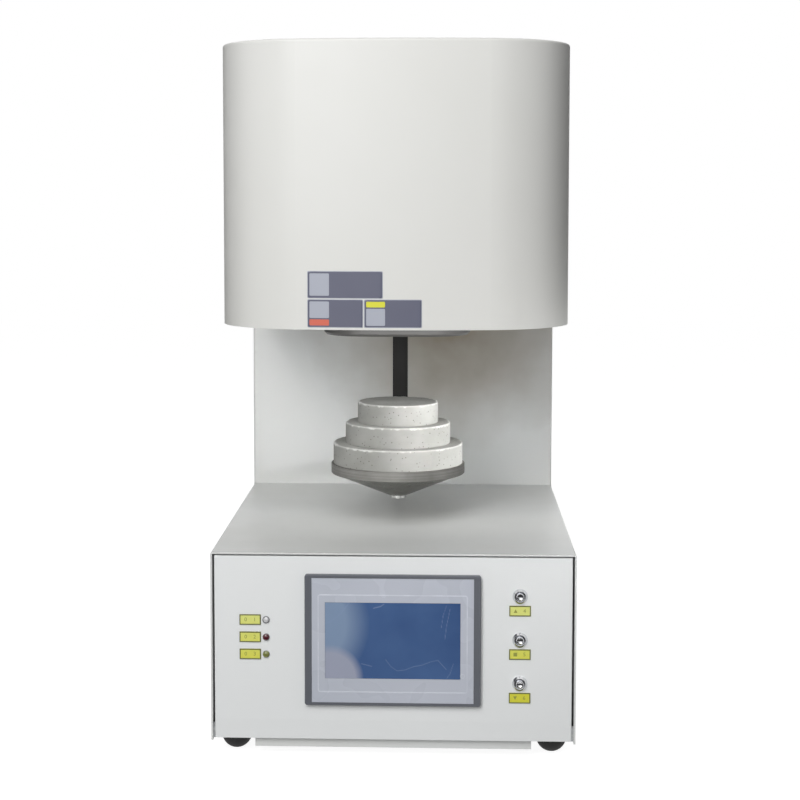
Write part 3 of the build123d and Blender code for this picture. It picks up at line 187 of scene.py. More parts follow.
def dress(material, *names):
    """Gives one material to all the slots of these CAD nodes."""
    for name in names:
        nodes[name].data.materials.clear()
        nodes[name].data.materials.append(material)
    print(material.name, "on", ", ".join(names))


# %% [markdown]
# The studio is a pale floor, a soft sky and seven soft boxes. A wide one in front fills the
# deep shade under the head, one above lights the fronts, one at the upper left is the key,
# two small ones at the right shape the white plug and light the sheet behind it, a weak one
# under the head stands for the light that its pale underside throws down, and one behind
# lights the back.
#
# The background is white because rays from the camera, from gloss and through glass see a
# white sky, and because the floor adds white for them over its own shaded colour. Only the
# gloss of the furnace sees that white, and its matt colours get no light from it.
#
# Dark cards show only in gloss. Two beside the camera and two behind the furnace darken the
# round corners of the head, and one lying in front of it stands for the bench: it deepens
# the screen and gives the chrome something to reflect.


# %% Floor and sky
def seen_rays(tree):
    """1 for rays from the camera, from gloss or through glass, and 0 for the rest."""
    path = tree.nodes.new("ShaderNodeLightPath")
    total = path.outputs["Is Camera Ray"]
    for kind in ("Is Glossy Ray", "Is Transmission Ray"):
        either = tree.nodes.new("ShaderNodeMath")
        either.operation = "MAXIMUM"
        tree.links.new(total, either.inputs[0])
        tree.links.new(path.outputs[kind], either.inputs[1])
        total = either.outputs[0]
    return total


def card(name, width, height, place, aim):
    """Flat rectangle of the studio, centred at place, facing aim."""
    corners = np.array([(-1, -1, 0), (1, -1, 0), (1, 1, 0), (-1, 1, 0)]) * (width, height, 1)
    mesh = bpy.data.meshes.new(name)
    mesh.from_pydata((corners / 2).tolist(), [], [(0, 1, 2, 3)])
    made = bpy.data.objects.new(name, mesh)
    made.location = place
    made.rotation_euler = facing(place, aim, "Z")
    bpy.context.scene.collection.objects.link(made)
    return made


def facing(place, aim, axis):
    """Turn that points an object's own axis from place to aim."""
    return (Vector(aim) - Vector(place)).to_track_quat(axis, "Y").to_euler()


floor = card("floor", 12, 12, (0, 0, 0), (0, 0, 1))
floor_grey = 0.34
floor_white = 0.91
floor_paper = bpy.data.materials.new("floor_paper")
floor_paper.use_nodes = True
tree = floor_paper.node_tree
tree.nodes.clear()
matt = tree.nodes.new("ShaderNodeBsdfDiffuse")
matt.inputs["Color"].default_value = (floor_grey, floor_grey, floor_grey, 1)
glow = tree.nodes.new("ShaderNodeEmission")
lift = tree.nodes.new("ShaderNodeMath")
lift.operation = "MULTIPLY"
lift.inputs[1].default_value = floor_white
tree.links.new(seen_rays(tree), lift.inputs[0])
tree.links.new(lift.outputs[0], glow.inputs["Strength"])
both = tree.nodes.new("ShaderNodeAddShader")
tree.links.new(matt.outputs[0], both.inputs[0])
tree.links.new(glow.outputs[0], both.inputs[1])
surface = tree.nodes.new("ShaderNodeOutputMaterial")
tree.links.new(both.outputs[0], surface.inputs["Surface"])
floor.data.materials.append(floor_paper)

sky_level = 0.25
world = bpy.data.worlds.new("studio")
world.use_nodes = True
tree = world.node_tree
sky = tree.nodes["Background"]
sky.inputs["Color"].default_value = (1, 1, 1, 1)
level = tree.nodes.new("ShaderNodeMapRange")
level.inputs["To Min"].default_value = sky_level
level.inputs["To Max"].default_value = 1.0
tree.links.new(seen_rays(tree), level.inputs["Value"])
tree.links.new(level.outputs[0], sky.inputs["Strength"])
bpy.context.scene.world = world
print("floor grey", floor_grey, "sky", sky_level)


# %% Lamps and dark cards
def soft_box(name, power, width, height, place, aim, spread):
    """Rectangular lamp of the studio, its power in watts and its spread in degrees."""
    lamp = bpy.data.lights.new(name, "AREA")
    lamp.energy = power
    lamp.shape = "RECTANGLE"
    lamp.size = width
    lamp.size_y = height
    lamp.spread = radians(spread)
    made = bpy.data.objects.new(name, lamp)
    made.location = place
    made.rotation_euler = facing(place, aim, "-Z")
    made.visible_camera = False
    bpy.context.scene.collection.objects.link(made)
    return made


soft_boxes = (
    ("front_box", 9.5, 1.6, 1.2, (-0.5, -2.7, 0.8), (0, -0.2, 0.4), 180),
    ("top_box", 23, 1.6, 0.8, (-0.4, -2.0, 2.0), (0, -0.2, 0.3), 180),
    ("key_box", 16, 0.6, 0.6, (-0.9, -2.5, 1.5), (0, -0.2, 0.4), 180),
    ("side_box", 0.16, 0.2, 0.16, (1.25, -0.5, 0.37), (0, -0.08, 0.35), 15),
    ("low_box", 0.2, 0.4, 0.1, (1.2, -0.7, 0.48), (0, 0.05, 0.3), 30),
    ("under_box", 0.17, 0.28, 0.06, (0.04, -0.22, 0.492), (0.02, -0.02, 0.36), 120),
    ("rear_box", 14, 1.4, 1.2, (0.8, 2.6, 1.3), (0, 0.2, 0.45), 180),
)
for name, power, width, height, place, aim, spread in soft_boxes:
    soft_box(name, power, width, height, place, aim, spread)
for name in ("side_box", "low_box", "rear_box"):
    bpy.data.objects[name].visible_glossy = False

dark_paper = Finish("dark_paper", Base_Color=shade(30, 30, 32), Roughness=0.9).material
dark_cards = (
    ("dark_left", 0.9, 1.8, (-1.5, -1.9, 0.9), (0, -0.2, 0.5)),
    ("dark_right", 0.9, 1.8, (1.5, -1.9, 0.9), (0, -0.2, 0.5)),
    ("dark_rear_left", 2.0, 1.6, (-1.3, 0.8, 0.8), (0, -0.1, 0.6)),
    ("dark_rear_right", 2.0, 1.6, (1.3, 0.8, 0.8), (0, -0.1, 0.6)),
    ("dark_bench", 1.6, 1.3, (0, -1.05, 0.004), (0, -1.05, 1)),
)
for name, width, height, place, aim in dark_cards:
    dark = card(name, width, height, place, aim)
    dark.data.materials.append(dark_paper)
    dark.visible_camera = False
    dark.visible_diffuse = False
    dark.visible_shadow = False

# %% [markdown]
# The case is folded sheet steel under powder paint. Such paint flows into a very fine
# orange peel, which breaks up its gloss, and its colour wanders a little over a big sheet.
# One function makes the three greys of the furnace: the cover, the front panel, which is smoother,
# and the head, which is warmer. It makes the dark paints and plastics too. The sheet behind the
# tray carries painted shade: the paint is darker and browner round a middle just under the throat,
# where the head's shadow falls, and a ragged edge keeps the painted shade from looking drawn.

# %% Satin paint
# Where the painted shade under the head is centred, and how far it reaches.
painted_shade_centre = (0.07, 0.16, 0.5)
painted_shade_reach = 0.22


def satin_paint(name, light, dark, roughness, peel, painted_shade_colour=None):
    """Powder paint: two near greys by slow noise, and a fine peel in gloss and bump.

    A painted shade colour darkens the sheet near a spot under the head, with noise in the distance.
    """
    paint = Finish(name, Specular_IOR_Level=0.45)
    slow = paint.noise(2.5, 3)
    ripple = paint.noise(420, 2)
    colour = paint.ramp(slow, (0.35, dark), (0.65, light))
    # Painted shade: darker and browner near a spot under the head, where its shadow falls.
    if painted_shade_colour is not None:
        gap = paint.node("VectorMath", {0: paint.place, 1: painted_shade_centre}, operation="DISTANCE")
        ragged = paint.sum(gap.outputs["Value"], paint.span(paint.noise(14, 3), -0.02, 0.02))
        painted_shade_weight = paint.span(ragged, 1.0, 0.0, 0.05, painted_shade_reach)
        colour = paint.blend(painted_shade_weight, colour, painted_shade_colour)
    gloss = paint.span(paint.noise(30, 3), roughness - 0.03, roughness + 0.05)
    return paint.give(colour, gloss, ripple, depth=peel, strength=0.5)


case_light = shade(226, 228, 227)
case_dark = shade(221, 222, 219)
case_paint = satin_paint("case_paint", case_light, case_dark, 0.36, 2e-5)
# The column's front carries painted shade under the head.
column_paint = satin_paint("column_paint", case_light, case_dark, 0.36, 2e-5, shade(146, 137, 120))
panel_paint = satin_paint("panel_paint", shade(240, 242, 242), shade(237, 239, 239), 0.42, 1e-5)
head_paint = satin_paint("head_paint", shade(228, 228, 225), shade(224, 224, 220), 0.4, 2e-5)
black_paint = satin_paint("black_paint", shade(26, 25, 24), shade(18, 17, 16), 0.55, 2e-5)
dark_paint = satin_paint("dark_paint", shade(96, 96, 94), shade(82, 81, 79), 0.45, 3e-5)
dress(case_paint, "base_cover", "column_cover", "rear_panel", "bottom_pan")
dress(column_paint, "column_front")
dress(panel_paint, "front_panel")
dress(head_paint, "head_cover")
dress(black_paint, "slot_shutter")
dress(dark_paint, "lift_motor", "throat_flange")

# %% [markdown]
# The tray is turned steel, and its cone is spun from sheet, so both carry fine rings round
# their axis. The rings are noise that reads only the distance from the axis and the height.
# The cone is darker and shinier than the plate, whose face is dull.

# %% Turned and spun steel
groove_scale = 1500
groove_breaks = 60


def turned_steel(name, light, dark, roughness, centre, depth):
    """Metal with fine rings: they move its colour, its gloss and its bump together."""
    steel = Finish(name, Metallic=1.0)
    rings = steel.rings(centre, groove_scale, groove_breaks)
    haze = steel.noise(35, 3)
    colour = steel.blend(
        steel.span(haze, 0.0, 0.35), steel.ramp(rings, (0.3, dark), (0.6, light)), dark
    )
    gloss = steel.sum(steel.span(rings, 0.06, 0.0), steel.span(haze, roughness, roughness + 0.08))
    return steel.give(colour, gloss, rings, depth=depth, strength=0.4)


tray_low, tray_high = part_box("tray_plate")
tray_centre = (tray_low + tray_high) / 2
plate_steel = turned_steel(
    "plate_steel", shade(160, 159, 155), shade(136, 135, 131), 0.55, tray_centre, 2e-5
)
cone_steel = turned_steel(
    "cone_steel", shade(150, 149, 144), shade(118, 117, 112), 0.22, tray_centre, 2e-5
)
dress(plate_steel, "tray_plate")
dress(cone_steel, "tray_cone")
print("tray axis at", round(tray_centre.x, 4), round(tray_centre.y, 4))


# %% Other metals
def drawn_metal(name, light, dark, roughness, stretch, depth=1e-5):
    """Machined or drawn metal: noise stretched along the way that the tool went."""
    metal = Finish(name, Metallic=1.0)
    lines = metal.noise(900, 2, stretch)
    cloud = metal.noise(25, 3)
    streaks = metal.ramp(lines, (0.3, dark), (0.7, light))
    colour = metal.blend(metal.span(cloud, 0.0, 0.4), streaks, dark)
    gloss = metal.span(cloud, roughness - 0.04, roughness + 0.08)
    return metal.give(colour, gloss, lines, depth=depth, strength=0.5)


chrome = drawn_metal("chrome", shade(232, 233, 235), shade(214, 215, 218), 0.1, (1, 1, 1), 2e-6)
ground_steel = drawn_metal(
    "ground_steel", shade(222, 222, 220), shade(196, 196, 194), 0.18, (1, 1, 0.2)
)
screw_steel = drawn_metal("screw_steel", shade(206, 205, 202), shade(170, 170, 168), 0.3, (1, 1, 1))
machined_aluminium = drawn_metal(
    "machined_aluminium", shade(206, 207, 208), shade(182, 183, 184), 0.34, (0.05, 1, 1)
)
inner_steel = drawn_metal(
    "inner_steel", shade(190, 192, 193), shade(160, 163, 165), 0.38, (0.3, 1, 0.3)
)
core_steel = drawn_metal("core_steel", shade(92, 88, 84), shade(64, 60, 58), 0.5, (0.05, 3, 0.05))
bronze = drawn_metal("bronze", shade(196, 152, 92), shade(160, 116, 62), 0.3, (1, 1, 1))
dress(chrome, "button_housings", "raise_button", "stop_button", "lower_button", "fan_guard")
dress(ground_steel, "guide_rods", "lead_screw", "linear_bearings", "tray_bolt")
dress(screw_steel, "case_screws")
dress(
    machined_aluminium,
    "power_controller", "bearing_beams", "screw_coupling",
    "carriage", "lift_arm", "element_clamps",
)
dress(
    inner_steel,
    "base_floor", "floor_rim", "uprights", "head_floor", "head_beams", "furnace_can",
)
dress(core_steel, "transformer")
dress(bronze, "lead_nut")

# %% [markdown]
# Fibre board is pressed from ceramic wool: white, dead matt and soft as chalk. It takes no
# light back except by scattering, so it has no gloss to speak of, only grain, small pits
# and the darker traces that firing leaves. Its cut edges are brighter, because they are
# dusted with fresh powder. The piece says at each point how worn it is.


# %% Fibre board
def fibre_board(name, wear_and_glint):
    """White board, grain, stains and pits in painted shade. An edge with wear is brighter and
    rougher.
    """
    board = Finish(name, Specular_IOR_Level=0.12)
    stain = board.noise(16, 4, (1, 1, 1.6))
    grain = board.noise(500, 4)
    pits = board.node("TexVoronoi", {"Vector": board.place, "Scale": 190}).outputs["Distance"]
    holes = board.span(pits, 0.0, 1.0, 0.05, 0.2)
    clean = board.ramp(stain, (0.3, shade(156, 156, 151)), (0.7, shade(180, 180, 176)))
    # Painted shade: the pits are darker than the clean board around them.
    pit_shade = board.blend(0.8, clean, shade(96, 94, 88))
    colour = board.blend(holes, pit_shade, clean)
    if wear_and_glint:
        edge = board.span(board.mark("wear_and_glint"), 0.0, 0.85, 0.1, 1.0)
        colour = board.blend(edge, colour, shade(226, 226, 222))
    relief = board.sum(grain, board.span(holes, 0.0, 0.7, 0.0, 1.0))
    return board.give(colour, board.span(grain, 0.82, 0.98), relief, depth=1.6e-4, strength=0.7)


plug_board = fibre_board("plug_board", True)
inner_board = fibre_board("inner_board", False)
dress(inner_board, "insulation_ring", "insulation_wall", "insulation_roof")


# %% Surfaces from grids of points
def quads(rows, columns, loop):
    """Faces over a grid whose columns close round. With loop, its rows close too."""
    row = np.arange(rows if loop else rows - 1)[:, None]
    column = np.arange(columns)[None, :]
    above = (row + 1) % rows
    beside = (column + 1) % columns
    corners = (
        row * columns + column,
        row * columns + beside,
        above * columns + beside,
        above * columns + column,
    )
    return np.stack(np.broadcast_arrays(*corners), -1).reshape(-1, 4)


def closed(rings, loop=False):
    """Points and faces of a closed surface through rings, ring by step by place.

    The first and last ring close on their own middle with a fan of triangles. With loop,
    the last ring meets the first instead, as on a frame.
    """
    count, steps = rings.shape[:2]
    points = rings.reshape(-1, 3)
    faces = quads(count, steps, loop).tolist()
    if not loop:
        step = np.arange(steps)
        after = (step + 1) % steps
        last = (count - 1) * steps
        first_middle = np.full(steps, len(points))
        last_middle = first_middle + 1
        faces += np.stack([first_middle, after, step], -1).tolist()
        faces += np.stack([last_middle, last + step, last + after], -1).tolist()
        points = np.vstack([points, rings[0].mean(0), rings[-1].mean(0)])
    return points, faces


def piece(name, surfaces, material, body="furnace", crease=40, marks=None):
    """One object from closed surfaces, each given as its points and faces."""
    points = np.vstack([some for some, _ in surfaces])
    starts = np.cumsum([0] + [len(some) for some, _ in surfaces])
    faces = [
        [corner + start for corner in face]
        for start, (_, some) in zip(starts, surfaces)
        for face in some
    ]
    mesh = bpy.data.meshes.new(name)
    mesh.from_pydata(points.tolist(), [], faces)
    mesh.shade_smooth()
    mesh.set_sharp_from_angle(angle=radians(crease))
    # The marks carry wear on the plug boards, and on the screen the crease height, which its colour
    # shows as a painted highlight.
    if marks is not None:
        values = np.zeros(len(points), np.float32)
        values[: marks.size] = marks.ravel()
        mesh.attributes.new("wear_and_glint", "FLOAT", "POINT").data.foreach_set("value", values)
    mesh.materials.append(material)
    made = bpy.data.objects.new(name, mesh)
    bpy.context.scene.collection.objects.link(made)
    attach(made, body)
    print(name, len(points), "points", len(faces), "faces")
    return made


def rounded_outline(width, height, corner, steps=9):
    """Points round a rectangle with round corners.

    Each corner is a quarter circle about a middle that is set in by the corner's radius.
    """
    turn = (np.linspace(0, pi / 2, steps)[None, :] + np.arange(4)[:, None] * pi / 2).ravel()
    out = np.stack([np.cos(turn), np.sin(turn)], -1)
    signs = np.repeat([(1, 1), (-1, 1), (-1, -1), (1, -1)], steps, axis=0)
    return signs * (width / 2 - corner, height / 2 - corner) + corner * out


def evenly(outline, count):
    """The same outline with points at even distances along it."""
    line = np.vstack([outline, outline[:1]])
    run = np.concatenate([[0], np.hypot(*np.diff(line, axis=0).T).cumsum()])
    along = np.linspace(0, run[-1], count, endpoint=False)
    return np.stack([np.interp(along, run, line[:, i]) for i in (0, 1)], -1)


# %% [markdown]
# The plug is three discs sawn from board by hand, so no edge is perfect: the walls wander
# by a few tenths of a millimetre, the rims are crumbled and chipped, and crumbs lie on the
# ledges between the discs. Each disc is one profile carried round the axis, pushed in by
# waves and by dents. The dents are random but drawn from a fixed seed, so each run gives
# the same plug.

# %% Plug boards
board_steps = 540
foot_rings = 10
wall_rings = 24
top_rings = 34
edge_round = 0.9 * mm
foot_round = 0.5 * mm
wander = 0.5 * mm
chip_count = 46
chip_depth = 1.5 * mm
first_seed = 3


def board_profile(radius, bottom, top):
    """Radius and height along a disc's section, from its middle below to its middle on top."""
    foot_turn = np.radians(np.linspace(-90, 0, 5))
    rim_turn = np.radians(np.linspace(0, 90, 8))
    out = [
        radius * np.linspace(0.05, 0.99, foot_rings),
        radius - foot_round + foot_round * np.cos(foot_turn),
        np.full(wall_rings, radius),
        radius - edge_round + edge_round * np.cos(rim_turn),
        (radius - edge_round) * np.linspace(0.985, 0.04, top_rings),
    ]
    up = [
        np.full(foot_rings, bottom),
        bottom + foot_round + foot_round * np.sin(foot_turn),
        np.linspace(bottom + foot_round, top - edge_round, wall_rings + 2)[1:-1],
        top - edge_round + edge_round * np.sin(rim_turn),
        np.full(top_rings, top),
    ]
    return np.concatenate(out)[:, None], np.concatenate(up)[:, None]


def board_rings(node, seed):
    """Rings of a plug board, and the wear at each point.

    The radius loses a sum of waves round the board, each slowly leaning with the height,
    and a bell-shaped dent at each chip. A chip lowers the rim as well.
    """
    rng = np.random.default_rng(seed)
    low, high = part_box(node)
    radius = (high.x - low.x) / 2
    out, up = board_profile(radius, low.z, high.z)
    angle = np.linspace(0, 2 * pi, board_steps, endpoint=False)[None, :]
    count = np.arange(2, 60)[:, None, None]
    phase = rng.uniform(0, 2 * pi, (len(count), 1, 1))
    lean = rng.normal(0, 60, (len(count), 1, 1))
    size = rng.uniform(0.4, 1, (len(count), 1, 1)) / count**0.7
    waves = (size * np.cos(count * angle + phase + lean * (up - low.z))).sum(0)
    waves = (waves - waves.max()) / np.ptp(waves)
    at_rim = np.exp(-(((up - high.z) / (1.6 * mm)) ** 2 + ((out - radius) / (1.8 * mm)) ** 2))
    where = rng.uniform(0, 2 * pi, (chip_count, 1, 1))
    across = rng.uniform(0.6, 3.2, (chip_count, 1, 1)) * mm / radius
    bite = rng.uniform(0.15, 1.0, (chip_count, 1, 1)) ** 2 * chip_depth
    apart = (angle - where + pi) % (2 * pi) - pi
    chipped = (bite * np.exp(-((apart / across) ** 2))).max(0)
    near_edge = np.clip(out / radius * 1.6 - 0.6, 0, 1)
    out = out + wander * waves * near_edge - chipped * at_rim
    swell = np.cos(3 * angle + seed) * np.cos(out * 90) + np.cos(7 * angle) * np.sin(out * 160)
    on_top = np.clip((up - high.z) / (0.3 * mm) + 1, 0, 1)
    up = up - 0.9 * chipped * at_rim + (swell - 2) * 0.05 * mm * on_top
    wear_and_glint = np.clip(at_rim * 0.8 + chipped * at_rim / (0.4 * mm), 0, 1)
    places = (tray_centre.x + out * np.cos(angle), tray_centre.y + out * np.sin(angle), up)
    return np.stack(np.broadcast_arrays(*places), -1), wear_and_glint


for seed, node in enumerate(("plug_lower", "plug_middle", "plug_upper")):
    rings, wear_and_glint = board_rings(node, seed + first_seed)
    name = node.replace("plug", "board")
    board = piece(name, [closed(rings)], plug_board, "lift", crease=60, marks=wear_and_glint)
    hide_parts(node)


# %% Crumbs on the ledges
def crumb(place, size, rng):
    """A lump: a small ball whose radius is random at each point, pressed flat below.

    Each point's place is the crumb's own plus size times its direction, and its height
    never falls under the ledge.
    """
    up = np.linspace(0.15, 0.85, 5)[:, None] * pi
    turn = np.linspace(0, 2 * pi, 8, endpoint=False)[None, :]
    radius = size * rng.uniform(0.6, 1.1, (5, 8))
    x = radius * np.sin(up) * np.cos(turn) * rng.uniform(0.8, 1.5)
    y = radius * np.sin(up) * np.sin(turn) * rng.uniform(0.8, 1.5)
    z = radius * -np.cos(up) + 0.4 * size
    return np.stack([x + place[0], y + place[1], np.maximum(z, -0.05 * mm) + place[2]], -1)


crumbs_on_ledge = 55
rng = np.random.default_rng(11)
ledges = []
for lower, upper in (("plug_lower", "plug_middle"), ("plug_middle", "plug_upper")):
    outer = (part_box(lower)[1].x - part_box(lower)[0].x) / 2
    inner = (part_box(upper)[1].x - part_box(upper)[0].x) / 2
    ledges.append((inner, outer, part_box(lower)[1].z))
crumbs = []
for inner, outer, height in ledges:
    for _ in range(crumbs_on_ledge):
        turn = rng.uniform(0, 2 * pi)
        reach = inner + (outer - inner) * rng.beta(1, 2.5) * 0.9
        size = rng.uniform(0.25, 0.9) ** 1.5 * mm
        at = (tray_centre.x + reach * np.cos(turn), tray_centre.y + reach * np.sin(turn), height)
        crumbs.append(closed(crumb(at, size, rng)))
dust = piece("board_crumbs", crumbs, inner_board, "lift", crease=70)

# %% [markdown]
# The touch panel is a dark bezel round a pale face with a blue screen. It is new, so its clear film
# is still on: the film has a pressed line round it, and a few creases that catch the light. The
# face and the bezel stay CAD pieces. The screen is replaced by a grid that rises a little at each
# crease, and that knows where it is creased: there its colour is paler, a painted highlight. Two
# pale patches at its left are painted reflections of the room's light on the film.

# %% Touch panel plastics
bezel_plastic = satin_paint("bezel_plastic", shade(102, 105, 112), shade(90, 93, 100), 0.42, 4e-5)
black_plastic = satin_paint("black_plastic", shade(34, 34, 36), shade(24, 24, 26), 0.45, 4e-5)
dress(bezel_plastic, "touch_panel_bezel")
dress(
    black_plastic,
    "touch_panel_case", "mains_inlet", "rocker_housing", "power_rocker", "fan_frame", "fan_rotor",
)
face_film = Finish("display_face", Specular_IOR_Level=0.5, Coat_Weight=0.3, Coat_Roughness=0.12)
face_cloud = face_film.noise(6, 1)
dress(
    face_film.give(
        face_film.ramp(face_cloud, (0.3, shade(192, 197, 208)), (0.7, shade(200, 204, 215))),
        face_film.span(face_film.noise(25, 1), 0.24, 0.32),
        face_film.noise(60, 1, (1, 1, 0.3)),
        depth=2e-5,
    ),
    "touch_panel_face",
)


# %% Screen under its film
def crease_at(x, z, points, width):
    """Bell-shaped ridge along a line of points: 1 on the line, 0 a width or two away."""
    place = np.stack([x, z], -1)[..., None, :]
    start = np.array(points[:-1]) * mm
    run = np.array(points[1:]) * mm - start
    share = ((place - start) * run).sum(-1) / (run**2).sum(-1)
    gap = place - start - np.clip(share, 0, 1)[..., None] * run
    return np.exp(-(np.sqrt((gap**2).sum(-1)).min(-1) / (width * mm)) ** 2)


film_creases = [
    ([(-77, 20), (-70, 23), (-60, 31), (-53, 40), (-50, 44)], 0.5),
    ([(-22, 38), (-14, 40), (-10, 43)], 0.6),
    ([(62, 42), (58, 30), (56, 16)], 0.35),
    ([(66, 38), (62, 18), (60, 2)], 0.4),
    ([(-8, -22), (-2, -30), (5, -35), (14, -34), (24, -30)], 0.35),
    ([(24, -30), (34, -28), (44, -24), (52, -22), (62, -33)], 0.4),
    ([(70, -26), (66, -38), (62, -44)], 0.4),
    ([(-36, -27), (-24, -30)], 0.5),
]


def screen_rings(node):
    """Screen as rings from its back to the middle of its front, and the crease height.

    Each ring is the screen's outline drawn in towards the middle, so the front is a grid
    of rings by steps, and a point's height is the sum of the creases that pass it.
    """
    low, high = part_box(node)
    middle = (low + high) / 2
    edge = evenly(rounded_outline(high.x - low.x, high.z - low.z, 0.4 * mm, 3), 500)
    scale = np.concatenate([[0.3, 1.0], np.linspace(1, 0.01, 90)])[:, None, None]
    flat = edge[None] * scale
    ridge = sum(crease_at(flat[..., 0], flat[..., 1], *crease) for crease in film_creases)
    ridge[:3] = 0
    front = low.y - 0.12 * mm * np.clip(ridge, 0, 1)
    front[:2] = high.y
    points = np.stack([flat[..., 0] + middle.x, front, flat[..., 1] + middle.z], -1)
    return points, np.clip(ridge, 0, 1)


glass = Finish("screen_glass", Specular_IOR_Level=0.5, Coat_Weight=0.5, Coat_Roughness=0.05)
screen_low, screen_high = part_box("touch_panel_screen")
screen_middle = (screen_low + screen_high) / 2


def glare(finish, x, z, radius, softness):
    """A pale patch: 1 inside a circle, 0 outside it, and between them over a soft edge.

    The circle's middle is at x, z from the screen's middle. All sizes are in millimetres.
    """
    centre = (screen_middle.x + x * mm, screen_middle.y, screen_middle.z + z * mm)
    gap = finish.node("VectorMath", {0: finish.place, 1: centre}, operation="DISTANCE")
    edge = radius * mm
    return finish.span(gap.outputs["Value"], 1.0, 0.0, edge - softness * mm, edge + softness * mm)


deep_blue = glass.ramp(
    glass.noise(12, 3), (0.3, shade(62, 90, 138)), (0.7, shade(78, 108, 156))
)
pale_left = glare(glass, -110, 20, 70, 14)
pale_low = glare(glass, -72, -44, 34, 5)
screen_colour = glass.blend(pale_left, deep_blue, shade(134, 155, 184))
screen_colour = glass.blend(pale_low, screen_colour, shade(164, 169, 188))
# Painted highlight: the screen is paler where the film is creased.
crease_highlight = glass.span(glass.mark("wear_and_glint"), 0.0, 0.5, 0.15, 1.0)
screen_colour = glass.blend(crease_highlight, screen_colour, shade(142, 160, 196))
screen_gloss = glass.span(glass.noise(40, 3), 0.1, 0.2)
screen_glass = glass.give(screen_colour, screen_gloss, glass.noise(90), depth=2e-5)
points, ridge = screen_rings("touch_panel_screen")
screen = piece("display_screen", [closed(points)], screen_glass, marks=ridge)
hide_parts("touch_panel_screen")

# %% [markdown]
# The clear film over the face is pressed down along a line round the screen, and the edge
# of that line shows as two fine pale ridges. A small clear ring at the screen's lower right
# corner is the window of the panel's own lamp. Both are frames: a small section carried
# round an outline, with its last side meeting the first.


# %% Film line and lamp window
def frame_round(centre, width, height, corner, face, section, steps=9):
    """A frame on an upright face: a closed section carried round a rounded rectangle.

    Each section point is how far in it lies from the outline, and how far in front of
    the face. Its own outline is smaller by twice the first, with a tighter corner.
    """
    rings = []
    for inset, proud in np.array(section) * mm:
        tight = max(corner - inset, 0.05 * mm)
        across, up = rounded_outline(width - 2 * inset, height - 2 * inset, tight, steps).T
        rings.append(np.stack([centre[0] + across, face - proud + 0 * up, centre[1] + up], -1))
    return closed(np.array(rings), loop=True)


face_low, face_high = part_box("touch_panel_face")
line_sides = 7 * mm
line_below = 12 * mm
line_above = 19 * mm
line_width = face_high.x - face_low.x - 2 * line_sides
line_height = face_high.z - face_low.z - line_below - line_above
line_centre = (
    (face_low.x + face_high.x) / 2,
    (face_low.z + face_high.z + line_below - line_above) / 2,
)
ridge_section = [(0, -0.1), (0, 0.05), (0.12, 0.12), (0.3, 0.12), (0.42, 0.05), (0.42, -0.1)]
second_ridge = [(inset + 0.75, proud) for inset, proud in ridge_section]
film = Finish("clear_film", Specular_IOR_Level=0.5, Coat_Weight=0.4, Coat_Roughness=0.1)
film_cloud = film.noise(60, 3)
film_clear = film.give(
    film.ramp(film_cloud, (0.3, shade(212, 216, 226)), (0.7, shade(228, 231, 240))),
    film.span(film_cloud, 0.2, 0.32),
    film.noise(400, 2), depth=1e-5,
)
ridges = [
    frame_round(line_centre, line_width, line_height, 3 * mm, face_low.y, section)
    for section in (ridge_section, second_ridge)
]
film_line = piece("film_line", ridges, film_clear)

window_centre = (screen_middle.x + 80.5 * mm, screen_middle.z - 40.5 * mm)
window_size = 5.4 * mm
window_corner = 2.69 * mm
tube = 0.45
turn = np.linspace(0, 2 * pi, 12, endpoint=False)
ring_section = np.stack([tube - tube * np.cos(turn), tube * np.sin(turn)], -1)
window_ring = frame_round(
    window_centre, window_size, window_size, window_corner, screen_low.y, ring_section
)
window = piece("lamp_window", [window_ring], film_clear)

# %% [markdown]
# The lamps are small plastic lenses, unlit: one clear, one deep red, one olive. They are
# dyed through, so their colour only drifts a little, and their gloss does the rest.


# %% Lamp lenses
def tinted_lens(name, light, dark):
    """Dyed plastic: its colour drifts between two near ones by a fine cloudy noise."""
    lens_plastic = Finish(name, Coat_Weight=0.6, Coat_Roughness=0.06)
    cloud = lens_plastic.noise(300)
    return lens_plastic.give(
        lens_plastic.ramp(cloud, (0.3, dark), (0.7, light)),
        lens_plastic.span(cloud, 0.12, 0.22),
        cloud,
        depth=3e-5,
    )


clear_lens = tinted_lens("clear_lens", shade(226, 226, 228), shade(206, 206, 208))
red_lens = tinted_lens("red_lens", shade(88, 18, 34), shade(70, 12, 26))
amber_lens = tinted_lens("amber_lens", shade(136, 140, 74), shade(112, 116, 62))
dull_nickel = drawn_metal("dull_nickel", shade(150, 151, 154), shade(128, 129, 132), 0.3, (1, 1, 1))
dress(clear_lens, "clear_lamp_lens")
dress(dull_nickel, "lamp_holders")

# %% [markdown]
# The red and the olive lamp have a cap over the whole of their rim, where the clear one
# shows its rim. A cap is one section turned about the lamp's axis: a stem inside the
# holder, a flat under the rim of the cap, and a shallow dome.


# %% Lens caps
def turned_cap(node):
    """Section points, as radius and how far in front of the holder, carried round."""
    low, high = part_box(node)
    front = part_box("lamp_holders")[0].y
    section = np.array([
        (2.4, -4), (2.4, 0.02), (3.75, 0.02), (3.85, 0.35), (3.7, 0.8), (3.2, 1.25),
        (2.4, 1.6), (1.5, 1.85), (0.6, 1.95), (0.1, 1.96),
    ]) * mm
    turn = np.linspace(0, 2 * pi, 32, endpoint=False)
    reach, out = section.T[:, :, None]
    x = (low.x + high.x) / 2 + reach * np.cos(turn)
    z = (low.z + high.z) / 2 + reach * np.sin(turn)
    return closed(np.stack([x, front - out + 0 * x, z], -1))


for node, lens_plastic, slot in (
    ("red_lamp_lens", red_lens, "red_lens"), ("amber_lamp_lens", amber_lens, "amber_lens"),
):
    cap = piece(node.replace("lens", "cap"), [turned_cap(node)], lens_plastic, crease=50)
    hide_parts(node)
